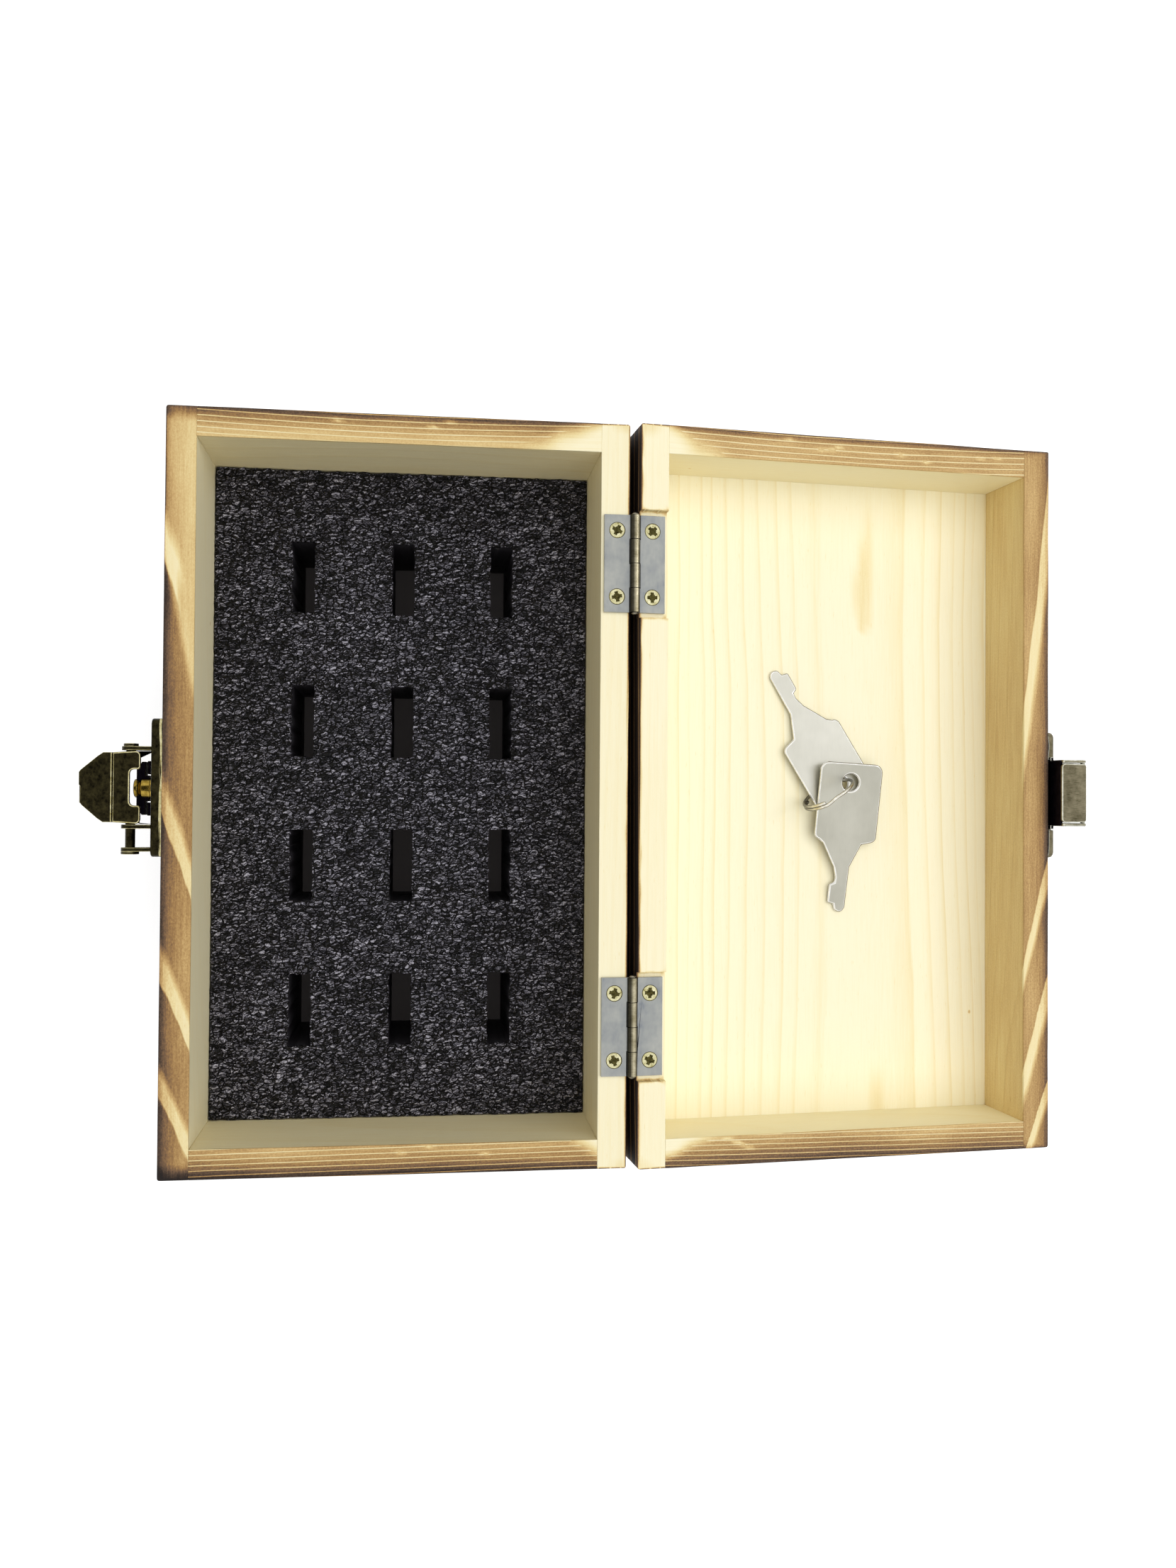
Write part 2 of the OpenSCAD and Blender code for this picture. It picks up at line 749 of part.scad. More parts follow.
module key(tail, turn, lift) {
    color("Silver") in_lid()
        translate([tail[0], tail[1], -lid_wall_height + key_floor_gap])
        rotate([0, 0, turn]) rotate([lift, 0, 0]) linear_extrude(key_thickness) key_outline();
}

module key_ring() {
    height = ring_radius * sin(ring_lean) + ring_wire / 2 + key_floor_gap * 2;
    color("Silver") in_lid()
        translate([ring_middle[0], ring_middle[1], -lid_wall_height + height])
        rotate([0, 0, ring_turn]) rotate([ring_lean, 0, 0]) {
            rotate_extrude($fn = 64) translate([ring_radius, 0]) circle(d = ring_wire, $fn = 24);
            rotate([0, 0, 180 - ring_overlap / 2]) rotate_extrude(angle = ring_overlap, $fn = 64)
                translate([ring_radius, ring_wire * 0.85]) circle(d = ring_wire, $fn = 24);
        }
}

base_bottom_panel();
base_front_wall();
base_back_wall();
base_side_wall(-1);  // base_left_wall
base_side_wall(1);  // base_right_wall
foam_insert();
lid_top_panel();
lid_front_wall();
lid_back_wall();
lid_side_wall(-1);  // lid_left_wall
lid_side_wall(1);  // lid_right_wall
base_leaf(-1);  // hinge_a_base_leaf
lid_leaf(-1);  // hinge_a_lid_leaf
hinge_pin(-1);  // hinge_a_pin
base_leaf(1);  // hinge_b_base_leaf
lid_leaf(1);  // hinge_b_lid_leaf
hinge_pin(1);  // hinge_b_pin
hinge_base_screws();
hinge_lid_screws();
latch_backplate();
latch_pivot_rivets();
latch_screws();
latch_lever();
latch_hook_pin();
draw_hook();
lock_collar();
lock_plug();
lock_bar();
catch_plate();
catch_screws();
key_ring();
key(key_a_tail, key_a_turn, key_a_lift);  // key_a
key(key_b_tail, key_b_turn, key_b_lift);  // key_b
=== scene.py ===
import math

import bmesh
import bpy
import numpy as np
from mathutils import Matrix, Vector


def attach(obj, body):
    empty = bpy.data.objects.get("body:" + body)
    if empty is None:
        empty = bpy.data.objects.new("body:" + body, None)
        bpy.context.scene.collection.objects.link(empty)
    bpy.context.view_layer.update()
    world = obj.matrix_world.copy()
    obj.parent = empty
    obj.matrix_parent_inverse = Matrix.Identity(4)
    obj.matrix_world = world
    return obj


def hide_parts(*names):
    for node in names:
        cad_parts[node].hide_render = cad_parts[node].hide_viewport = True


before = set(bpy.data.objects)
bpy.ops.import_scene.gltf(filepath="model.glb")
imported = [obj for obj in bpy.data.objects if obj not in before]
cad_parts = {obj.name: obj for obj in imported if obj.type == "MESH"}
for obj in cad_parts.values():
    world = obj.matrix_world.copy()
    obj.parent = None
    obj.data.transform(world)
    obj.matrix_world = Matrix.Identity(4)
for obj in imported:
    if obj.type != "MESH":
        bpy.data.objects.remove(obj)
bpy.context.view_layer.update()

# Sizes in millimetres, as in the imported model.
MM = 0.001
LENGTH, DEPTH = 190.0, 115.5
BASE_HEIGHT, LID_HEIGHT = 77.0, 26.7
WALL, PANEL = 7.4, 6.0
LID_FLOOR = PANEL - LID_HEIGHT
FRONT, BACK, END = -DEPTH / 2, DEPTH / 2, LENGTH / 2
FOAM_TOP, FOAM_GAP = 47.7, 0.3
SLOT_LONG, SLOT_WIDE, SLOT_SKIN = 19.4, 6.0, 0.8
SLOT_STEP_X, SLOT_STEP_Y = 38.9, 26.7
HINGE_PLACE, HINGE_LONG, HINGE_OUT, HINGE_UP = 59.0, 25.0, 1.25, 1.0
LEAF_THICK, LEAF_SCREW_OUT, LEAF_SCREW_STEP, KNUCKLE_REACH = 0.9, 4.625, 17.0, 1.5
MORTISE_HALF, MORTISE_DEEP = HINGE_LONG / 2 + 1.25, 2.0
LATCH_X, LOCK_DOWN = -0.9, 27.2
PLATE_RISE, PLATE_DROP, PLATE_WIDE, PLATE_TALL, PLATE_SCREW_INSET = 3.5, 6.2, 34.0, 30.0, 4.4
CATCH_WIDE, CATCH_TALL, CATCH_RISE = 34.4, 17.0, 2.2
RING_RADIUS, RING_WIRE, RING_OVERLAP = 7.2, 0.9, 110.0
RING_X, RING_Y, RING_TURN, RING_LEAN = -0.97, 56.77, 120.9, 96.0
SHEET = 1.0
# Screws: head and shank across, how far the head stands above its seat, and length.
HINGE_SCREW, LATCH_SCREW, CATCH_SCREW = (4.05, 1.8, 0.9, 10.0), (3.6, 1.8, 1.0, 9.0), (3.6, 1.8, 1.0, 7.7)

# The lid's own frame: y runs from its hinge edge, z is up from its rim.
DIP = math.asin((2 * HINGE_OUT - 0.1) / (LID_HEIGHT - HINGE_UP))
AXIS_Y, AXIS_Z = BACK + HINGE_OUT, BASE_HEIGHT + HINGE_UP
IN_LID = Matrix.Translation((
    0,
    AXIS_Y + HINGE_OUT * math.cos(DIP) + HINGE_UP * math.sin(DIP),
    AXIS_Z - HINGE_OUT * math.sin(DIP) + HINGE_UP * math.cos(DIP),
)) @ Matrix.Rotation(-DIP, 4, "X")
IN_BASE = Matrix.Identity(4)


# Materials

def tone(code):
    """An sRGB hex colour as the linear colour that a shader takes."""
    parts = [int(code[i:i + 2], 16) / 255 for i in (1, 3, 5)]
    return [c / 12.92 if c <= 0.04045 else ((c + 0.055) / 1.055) ** 2.4 for c in parts] + [1.0]


def with_set(thing, **values):
    """The thing, once its properties are set to these values."""
    for name, value in values.items():
        setattr(thing, name, value)
    return thing


def feed(made, feeds):
    """Links each of a node's inputs to a socket or sets it to a value."""
    for socket, source in feeds.items():
        if isinstance(source, bpy.types.NodeSocket):
            made.id_data.links.new(source, made.inputs[socket])
        else:
            made.inputs[socket].default_value = source


def add(tree, kind, feeds=None, stops=None, out=0, **settings):
    """Adds a node with its settings, its colour stops and what feeds its inputs. Gives back
    the output that out names, or the node itself where out is None."""
    made = with_set(tree.nodes.new(kind if "Node" in kind else "ShaderNode" + kind), **settings)
    feed(made, feeds or {})
    if stops:
        ramp = made.color_ramp
        while len(ramp.elements) < len(stops):
            ramp.elements.new(1.0)
        for element, (place, colour) in zip(ramp.elements, stops):
            element.position = place
            element.color = tone(colour) if isinstance(colour, str) else (colour,) * 3 + (1.0,)
    return made if out is None else made.outputs[out]


def empty_tree(block):
    """The cleared node tree of a material or a world."""
    block.use_nodes = True
    block.node_tree.nodes.clear()
    return block.node_tree


def new_material(name):
    """A node material with a Principled surface, and its tree and shader."""
    material = bpy.data.materials.new(name)
    tree = empty_tree(material)
    shader = add(tree, "BsdfPrincipled", out=None)
    add(tree, "OutputMaterial", {"Surface": shader.outputs["BSDF"]}, out=None)
    return material, tree, shader


def pine_torched():
    """Pine board, planed, glued up, then torched and sanded: pale inside, brown where the
    flame ran over the rims, near black outside, with latewood lines that char less."""
    material, tree, shader = new_material("pine_torched_and_sanded")
    grain = add(tree, "Attribute", attribute_name="grain", out="Vector")
    rings = add(tree, "Attribute", attribute_name="rings", out="Fac")
    burn = add(tree, "Attribute", attribute_name="burn", out="Fac")
    marked = add(tree, "Attribute", attribute_name="marked", out="Fac")
    # Noise in the grain: millimetres of one feature along, across and through the board.
    noises = {}
    for label, size, detail, rough in (
            ("fibre", (11.0, 0.45, 0.45), 3.0, 0.6), ("grit", (0.5, 0.36, 0.36), 2.0, 0.7),
            ("cloud", (30.0, 9.0, 9.0), 2.0, 0.5), ("waver", (26.0, 2.6, 2.6), 1.0, 0.5),
            ("pore", (2.6, 0.3, 0.3), 1.0, 0.5)):
        space = add(tree, "Mapping", {"Vector": grain, "Scale": [1 / v for v in size]})
        noises[label] = add(tree, "TexNoise", {
            "Vector": space, "Scale": 1.0, "Detail": detail, "Roughness": rough})
    waver = add(tree, "Math", {0: noises["waver"], 1: 0.08, 2: -0.04}, operation="MULTIPLY_ADD")
    phase = add(tree, "Math", {0: rings, 1: waver})
    part = add(tree, "Math", {0: phase}, operation="FRACT")
    whole = add(tree, "Math", {0: phase}, operation="FLOOR")
    # Charred wood shows each latewood line crisply; pale wood only darkens towards it.
    crisp = add(tree, "ValToRGB", {"Fac": part}, stops=[
        (0.0, 0.0), (0.75, 0.0), (0.80, 0.45), (0.85, 1.0), (0.975, 1.0), (1.0, 0.0)])
    soft = add(tree, "ValToRGB", {"Fac": part}, stops=[
        (0.0, 0.35), (0.04, 0.0), (0.35, 0.02), (0.70, 0.16), (0.87, 0.55), (0.955, 1.0),
        (1.0, 0.35)])
    luck = add(tree, "TexWhiteNoise", {"W": whole}, noise_dimensions="1D")
    heavy = add(tree, "MapRange", {"Value": luck, "To Min": 0.45, "To Max": 1.15})
    # The deeper the burn, the more its own unevenness shows.
    uneven = add(tree, "MapRange", {
        "Value": burn, "From Min": 0.04, "From Max": 0.45, "To Min": 0.04, "To Max": 1.0})
    char = burn
    for label, amount in (("grit", 0.30), ("cloud", 0.20), ("fibre", 0.16)):
        patchy = add(tree, "Math", {
            0: noises[label], 1: amount, 2: -amount / 2}, operation="MULTIPLY_ADD")
        char = add(tree, "Math", {0: patchy, 1: uneven, 2: char}, operation="MULTIPLY_ADD")
    # Latewood keeps much of its colour where the wood round it is charred.
    spare = add(tree, "MapRange", {
        "Value": char, "From Min": 0.5, "From Max": 0.9, "To Min": -0.70, "To Max": -0.40})
    seared = add(tree, "MapRange", {"Value": burn, "From Min": 0.29, "From Max": 0.33})
    spare = add(tree, "Math", {0: spare, 1: seared}, operation="MULTIPLY")
    spared = add(tree, "Math", {0: crisp, 1: spare}, operation="MULTIPLY")
    kept = add(tree, "Math", {0: spared, 1: char, 2: char}, operation="MULTIPLY_ADD")
    stripe = add(tree, "Math", {0: soft, 1: heavy}, operation="MULTIPLY")
    total = add(tree, "Math", {0: stripe, 1: marked, 2: kept}, operation="MULTIPLY_ADD")
    threads = add(tree, "Math", {0: noises["fibre"], 1: 0.085, 2: -0.043}, operation="MULTIPLY_ADD")
    pores = add(tree, "MapRange", {
        "Value": noises["pore"], "From Min": 0.70, "From Max": 0.82, "To Max": 0.09})
    # Pin flecks: dark dots of about a millimetre in every second cell of 22 x 14 mm.
    fleck_space = add(tree, "Mapping", {"Vector": grain, "Scale": (0.045, 0.07, 0.07)})
    dots = add(tree, "TexVoronoi", {"Vector": fleck_space, "Scale": 1.0}, out=None)
    fleck = add(tree, "MapRange", {
        "Value": dots.outputs["Distance"], "From Min": 0.018, "From Max": 0.034,
        "To Min": 0.30, "To Max": 0.0})
    draw = add(tree, "SeparateColor", {"Color": dots.outputs["Color"]})
    chosen = add(tree, "Math", {0: draw, 1: 0.5}, operation="GREATER_THAN")
    flecks = add(tree, "Math", {0: fleck, 1: chosen}, operation="MULTIPLY")
    for extra in (threads, pores, flecks):
        total = add(tree, "Math", {0: total, 1: extra})
    colour = add(tree, "ValToRGB", {"Fac": total}, stops=[
        (0.0, "#FDF6D6"), (0.08, "#F8ECC2"), (0.18, "#EFDCA4"), (0.28, "#E0C58A"), (0.38, "#CDAB72"),
        (0.47, "#B7935E"), (0.57, "#9C784B"), (0.66, "#7B5E43"), (0.76, "#574435"), (0.87, "#33271F"),
        (1.0, "#1A1310")])
    rough = add(tree, "MapRange", {
        "Value": total, "From Min": 0.2, "From Max": 0.9, "To Min": 0.52, "To Max": 0.68})
    relief = add(tree, "Math", {0: crisp, 1: uneven}, operation="MULTIPLY")
    ridge = add(tree, "Bump", {"Height": relief, "Distance": 0.00018, "Strength": 0.6})
    fine = add(tree, "Bump", {
        "Height": noises["fibre"], "Distance": 0.00010, "Strength": 0.5, "Normal": ridge})
    feed(shader, {"Base Color": colour, "Roughness": rough, "Normal": fine, "Specular IOR Level": 0.3})
    return material


def foam_black():
    """Closed-cell polyethylene foam, split and crushed, black. The grey of its small flakes of skin
    is painted reflection, the fine glints on them painted highlights, and the dark creases
    between them painted shade."""
    material, tree, shader = new_material("polyethylene_foam_crinkled")
    place = add(tree, "TexCoord", out="Object")
    bent = add(tree, "TexNoise", {"Vector": place, "Scale": 520.0, "Detail": 2.0}, out="Color")
    bend = add(tree, "VectorMath", {0: bent, 1: (0.0016, 0.0022, 0.0)}, operation="MULTIPLY")
    moved = add(tree, "VectorMath", {0: place, 1: bend})
    # Flakes are about 1 mm across and 1.7 mm along Y, and their folds two thirds of that.
    flake_space = add(tree, "Mapping", {"Vector": moved, "Scale": (1000.0, 600.0, 300.0)})
    flakes = add(tree, "TexVoronoi", {"Vector": flake_space, "Scale": 1.0}, out="Color")
    seams = add(tree, "TexVoronoi", {
        "Vector": flake_space, "Scale": 1.0}, feature="DISTANCE_TO_EDGE", out="Distance")
    folds = []
    for shift in (0.0, 0.28):
        space = add(tree, "Mapping", {
            "Vector": moved, "Location": (shift, shift * 0.4, 0.0), "Scale": (1500.0, 880.0, 600.0)})
        folds.append(add(tree, "TexNoise", {
            "Vector": space, "Scale": 1.0, "Detail": 4.0, "Roughness": 0.62}))
    # Painted light and shade: the difference of two shifted fold noises lightens one side of each fold and
    # darkens the other.
    side = add(tree, "Math", {0: folds[0], 1: folds[1]}, operation="SUBTRACT")
    drift = add(tree, "TexNoise", {"Vector": place, "Scale": 24.0, "Detail": 2.0})
    # Painted reflection: each flake takes its own grey, as if it mirrored the light at its own angle.
    flake_sheen = add(tree, "SeparateColor", {"Color": flakes})
    # Painted shade: the foam is darker towards low x and low y, where the light is weakest.
    corner = add(tree, "VectorMath", {
        0: place, 1: (0.4, 0.3, 0.0)}, operation="DOT_PRODUCT", out="Value")
    shade = add(tree, "Math", {0: corner, 1: 0.255})
    for part, amount in ((side, 3.7), (flake_sheen, 0.44), (drift, 0.22)):
        shade = add(tree, "Math", {0: part, 1: amount, 2: shade}, operation="MULTIPLY_ADD")
    # Painted shade: dark lines along the seams between the flakes.
    crease = add(tree, "MapRange", {"Value": seams, "From Max": 0.13, "To Min": -0.72, "To Max": 0.0})
    # Long thin creases run along Y, a few millimetres each, painted as dark lines of shade.
    wrinkle_space = add(tree, "Mapping", {"Vector": moved, "Scale": (560.0, 150.0, 300.0)})
    wrinkles = add(tree, "TexNoise", {
        "Vector": wrinkle_space, "Scale": 1.0, "Detail": 3.0, "Roughness": 0.6})
    away = add(tree, "Math", {0: wrinkles, 1: 0.5}, operation="SUBTRACT")
    away = add(tree, "Math", {0: away}, operation="ABSOLUTE")
    wrinkle_shade = add(tree, "MapRange", {"Value": away, "From Max": 0.028, "To Min": -0.50, "To Max": 0.0})
    crease = add(tree, "Math", {0: crease, 1: wrinkle_shade})
    final = add(tree, "Math", {0: shade, 1: crease})
    # The ramp's brightest stops are the painted glints.
    colour = add(tree, "ValToRGB", {"Fac": final}, stops=[
        (0.0, "#010102"), (0.29, "#060507"), (0.41, "#1B1A1F"), (0.54, "#3B3940"), (0.73, "#5A5861"),
        (0.90, "#77757F"), (1.0, "#A8A6B0")])
    height = add(tree, "Math", {0: folds[0], 1: crease})
    bump = add(tree, "Bump", {"Height": height, "Distance": 0.0007, "Strength": 0.7})
    feed(shader, {"Base Color": colour, "Normal": bump, "Roughness": 0.4, "Specular IOR Level": 0.25})
    return material


def metal(name, low, high, mottle_mm, rough_low, rough_high, brushed=(1, 1, 1), scratch=0.3, dirt=None,
          sides=0.0, painted_highlight_y=None):
    """A metal finish: two tones that drift over mottle_mm, and fine lines along the brushing.
    Faces seen at a slant are painted darker by sides, a painted reflection of a dark room. The last
    argument is the middle, along Y in millimetres, of a band painted bright as a highlight, with the colour
    away from it painted dark."""
    material, tree, shader = new_material(name)
    place = add(tree, "TexCoord", out="Object")
    mottle = add(tree, "TexNoise", {
        "Vector": place, "Scale": 1000.0 / mottle_mm, "Detail": 3.0, "Roughness": 0.6})
    brush_space = add(tree, "Mapping", {"Vector": place, "Scale": [1000.0 / b for b in brushed]})
    brush = add(tree, "TexNoise", {
        "Vector": brush_space, "Scale": 1.0, "Detail": 3.0, "Roughness": 0.65})
    drift = add(tree, "Math", {0: brush, 1: scratch, 2: mottle}, operation="MULTIPLY_ADD")
    drift = add(tree, "MapRange", {
        "Value": drift, "From Min": 0.35 * (1 + scratch), "From Max": 0.65 * (1 + scratch)})
    stops = [(0.0, dirt), (0.22, low), (1.0, high)] if dirt else [(0.0, low), (1.0, high)]
    colour = add(tree, "ValToRGB", {"Fac": drift}, stops=stops)
    # Painted reflection: faces seen at a slant are darkened by sides.
    slant = add(tree, "LayerWeight", {"Blend": 0.5}, out="Facing")
    fade = add(tree, "MapRange", {
        "Value": slant, "From Min": 0.12, "From Max": 0.62, "To Min": 1.0, "To Max": 1.0 - sides})
    # Painted highlight: a narrow bright band along Y, with painted shade away from it.
    if painted_highlight_y:
        across = add(tree, "SeparateXYZ", {"Vector": place}, out="Y")
        away = add(tree, "Math", {0: across, 1: painted_highlight_y * MM}, operation="SUBTRACT")
        away = add(tree, "Math", {0: away}, operation="ABSOLUTE")
        band = add(tree, "MapRange", {
            "Value": away, "From Min": 0.0002, "From Max": 0.0009, "To Min": 1.0, "To Max": 0.10})
        fade = add(tree, "Math", {0: fade, 1: band}, operation="MULTIPLY")
    colour = add(tree, "HueSaturation", {"Color": colour, "Value": fade})
    rough = add(tree, "MapRange", {
        "Value": brush, "From Min": 0.3, "From Max": 0.7, "To Min": rough_low, "To Max": rough_high})
    bump = add(tree, "Bump", {"Height": brush, "Distance": 0.00003, "Strength": 0.4})
    feed(shader, {"Base Color": colour, "Roughness": rough, "Normal": bump, "Metallic": 1.0})
    return material


def foam_cut(name, colour):
    """The same foam where the slots were cut: a plain skin in one tone, of which a lighter copy paints light
    on the slots' shaded bottoms.
    """
    material, _, shader = new_material(name)
    feed(shader, {"Base Color": tone(colour), "Roughness": 0.6})
    return material


PINE = pine_torched()
FOAM = foam_black()
FOAM_CUT = foam_cut("polyethylene_foam_cut", "#29262A")
# The slots' bottoms take a copy painted lighter, as painted light against the deep shade there.
FOAM_SLOT_FLOOR_LIGHTENED = foam_cut("polyethylene_foam_cut_painted_lighter", "#7E7776")
# Zinc-plated sheet steel: grey with bluish clouds, finger marks and fine rolling lines.
ZINC = metal("zinc_plated_steel_cloudy", "#9B9E9E", "#B3B4AE", 7.0, 0.36, 0.46, (3, 0.9, 0.9),
             dirt="#8B9095")
ZINC_EDGE = metal("zinc_plated_steel_sheared_edge", "#7C7A70", "#D2D0C4", 2.0, 0.3, 0.42, (3, 0.3, 0.3),
                  0.4, sides=0.8)
# The rolled knuckles are a warmer, shinier grey, with a highlight painted in a band along them and painted
# shade to either side.
KNUCKLE = metal("zinc_plated_steel_knuckle_painted_highlight", "#978E70", "#D3CAAC", 2.5, 0.26, 0.36, (0.3, 2, 2), 0.4,
                sides=0.5, painted_highlight_y=AXIS_Y + 0.35)
PIN = metal("steel_drawn_pin", "#6E675A", "#A8A08D", 1.5, 0.28, 0.4, (0.4, 1, 1), sides=0.6)
# Yellow-passivated screws: pale brass colour with dirtier patches, painted shade in the cross recess and a
# painted shadow round the head.
BRASS = metal("brass_plated_screw", "#C9C28F", "#F2EDC6", 1.2, 0.28, 0.42, (0.5, 0.5, 0.5), 0.4,
              "#8E854E")
SCREW_RECESS_SHADE = metal("brass_plated_screw_recess_painted_shade", "#2A2612", "#665F36", 0.6, 0.4, 0.6, (0.5, 0.5, 0.5), 0.4)
# Antique bronze: dark olive oxide, rubbed to raw brass along the edges.
BRONZE = metal("antique_bronze_oxidised", "#1D1A0F", "#3A3520", 1.6, 0.32, 0.5, (0.6, 0.6, 0.6), 0.6,
               "#0E0C07")
BRONZE_EDGE = metal("antique_bronze_rubbed_edge", "#A3965F", "#EAE2B4", 2.0, 0.25, 0.4, scratch=0.4,
                    sides=0.7)
# Where no hand rubs it, the oxide stays black with a violet cast; where it is used, on the lock's cheeks and
# bar and on the catch's back and shoulders, this black also paints the shade that falls there.
SHADE = metal("antique_bronze_unrubbed_and_painted_shade", "#0B0910", "#1C1820", 1.6, 0.45, 0.6)
# Turned brass: clear yellow, with rings of fine tool marks; its flanks are painted dark, so that its middle
# reads as a highlight.
LOCK = metal("brass_turned_lock", "#846A22", "#D0B256", 2.0, 0.2, 0.3, (0.25, 1.5, 0.25), sides=0.93)
# Antique pewter: a grey-brown tarnish, brushed along the plate, and pale rubbed edges.
PEWTER = metal("antique_pewter_brushed", "#5F5945", "#8A826B", 3.0, 0.32, 0.5, (0.22, 2.5, 0.22), 0.8,
               "#4A4532")
PEWTER_EDGE = metal("antique_pewter_rubbed_edge", "#B4B29D", "#E6E5D8", 2.0, 0.25, 0.4, scratch=0.4,
                    sides=0.5)
# Nickel-plated keys: satin flats, key a in a copy painted lighter for the light it catches, and stamped edges
# painted bright as a highlight, dark where they slant.
NICKEL = metal("nickel_plated_key_satin", "#B9B7AA", "#C9C7BA", 14.0, 0.34, 0.42, (4, 0.5, 0.5), 0.2)
NICKEL_PAINTED_LIGHTER = metal("nickel_plated_key_satin_painted_lighter", "#D2D0C4", "#E0DED3", 14.0, 0.34, 0.42,
                     (4, 0.5, 0.5), 0.2)
NICKEL_EDGE_HIGHLIGHT = metal("nickel_plated_key_edge_painted_highlight", "#E4E2D8", "#FFFEFA", 3.0, 0.2, 0.3, sides=0.97)
WIRE = metal("nickel_plated_spring_wire", "#D8D3C2", "#FBF8EE", 1.5, 0.2, 0.3, (0.5, 0.5, 0.5), sides=0.8)


# Making pieces

def value_noise(points, seed):
    """Smooth noise from 0 to 1 at points whose cells are 1 wide."""
    cell = np.floor(points).astype(np.int64)
    t = points - cell
    t = t * t * (3 - 2 * t)
    total = np.zeros(len(points))
    for corner in range(8):
        bits = np.array([corner & 1, corner >> 1 & 1, corner >> 2 & 1])
        at = cell + bits
        mixed = at[:, 0] * 73856093 ^ at[:, 1] * 19349663 ^ at[:, 2] * 83492791 ^ seed * 40503
        mixed = (mixed ^ (mixed >> 13)) * 1274126177 & 0x7FFFFFFF
        weight = np.prod(np.where(bits == 1, t, 1 - t), axis=1)
        total += weight * ((mixed ^ (mixed >> 15)) & 0xFFFF) / 65535.0
    return total


def wander(points, size, seed):
    """Noise from 0 to 1 that changes over size, in millimetres along each axis."""
    return value_noise(points / np.array(size, float) + 1000.0, seed)


def in_scene(name, data, materials=()):
    """An object of this mesh, lamp or camera in the scene, with its materials."""
    for material in materials:
        data.materials.append(material)
    made = bpy.data.objects.new(name, data)
    bpy.context.scene.collection.objects.link(made)
    return made


def raw_mesh(name, points, faces, place=IN_BASE):
    """A mesh from points in millimetres, moved to where it sits."""
    mesh = bpy.data.meshes.new(name)
    mesh.from_pydata([tuple(p) for p in points], [], [tuple(f) for f in faces])
    mesh.transform(Matrix.Scale(MM, 4) @ place)
    return mesh


def soften(mesh, degrees):
    """Smooth shading, with bends above these degrees kept sharp."""
    mesh.shade_smooth()
    mesh.set_sharp_from_angle(angle=math.radians(degrees))


def new_piece(name, points, faces, materials, place=IN_BASE, smooth=35.0):
    """A smooth-shaded mesh object from points in millimetres."""
    piece = in_scene(name, raw_mesh(name, points, faces, place), materials)
    soften(piece.data, smooth)
    return piece


def walls(rings):
    """The quads between rings of points that follow each other, as corner names."""
    for upper, lower in zip(rings, rings[1:]):
        for k in range(len(upper)):
            m = (k + 1) % len(upper)
            yield upper[k], upper[m], lower[m], lower[k]


def face_out(piece):
    """Turns all faces of a closed piece outwards."""
    mesh, shell = piece.data, bmesh.new()
    shell.from_mesh(mesh)
    bmesh.ops.recalc_face_normals(shell, faces=shell.faces)
    shell.to_mesh(mesh)
    shell.free()


def settle(piece, body, slot, *nodes):
    """The piece rides on a body and stands for its CAD nodes. Its slot argument is not used."""
    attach(piece, body)
    if nodes:
        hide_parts(*nodes)
    return piece


def finished(piece):
    """The piece with its modifiers' result as its plain mesh."""
    bpy.context.view_layer.update()
    graph = bpy.context.evaluated_depsgraph_get()
    mesh = bpy.data.meshes.new_from_object(piece.evaluated_get(graph), depsgraph=graph)
    piece.modifiers.clear()
    piece.data = mesh
    return piece


def flat_faced(piece):
    """Smooth shading whose normals follow the large faces, so that these stay flat."""
    piece.data.shade_smooth()
    with_set(piece.modifiers.new("normals by area", "WEIGHTED_NORMAL"), weight=100, keep_sharp=True)
    return finished(piece)


def ease_edges(piece, width, **how):
    """Rounds a piece's edges over width millimetres, in its second finish."""
    ease = piece.modifiers.new("eased edges", "BEVEL")
    with_set(ease, width=width * MM, segments=3, material=1, **how)


def eased(node, name, skin, edge, width, crease=0.0, far=None, clamp=True):
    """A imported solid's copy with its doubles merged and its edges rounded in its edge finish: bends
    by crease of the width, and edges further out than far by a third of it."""
    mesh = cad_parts[node].data.copy()
    shell = bmesh.new()
    shell.from_mesh(mesh)
    bmesh.ops.remove_doubles(shell, verts=shell.verts, dist=2e-6)
    bmesh.ops.dissolve_limit(shell, angle_limit=math.radians(0.6), verts=shell.verts, edges=shell.edges)
    weight = shell.edges.layers.float.new("bevel_weight_edge")
    for line in shell.edges:
        bend = math.degrees(line.calc_face_angle(0.0))
        share = 1.0 if bend > 30 else crease if bend > 8 else 0.0
        if far and min(v.co.y for v in line.verts) < FRONT * MM - far * MM and bend > 30:
            share *= 0.3
        line[weight] = share
    shell.to_mesh(mesh)
    shell.free()
    mesh.materials.clear()
    for polygon in mesh.polygons:
        polygon.material_index = 0
    piece = in_scene(name, mesh, (skin, edge))
    ease_edges(piece, width, limit_method="WEIGHT", use_clamp_overlap=clamp)
    return flat_faced(piece)


# Boards

# Grid lines beside each edge, and the depths from a wall's outer edge that RIM's burns are for.
FINE = np.array([0.0, 0.1, 0.24, 0.42, 0.66, 1.0, 1.6])
RIM_DEPTHS = [0.4, 1.5, 3.0, 4.5, 6.0, 7.3]


def block_lines(low, high, step, marks=()):
    """Grid lines from low to high, close together at both ends and through the marks."""
    count = max(2, round((high - low - 2 * FINE[-1]) / step) + 1)
    middle = np.linspace(low + FINE[-1], high - FINE[-1], count)
    return np.unique(np.round(np.concatenate([low + FINE, middle, high - FINE, marks]), 4))


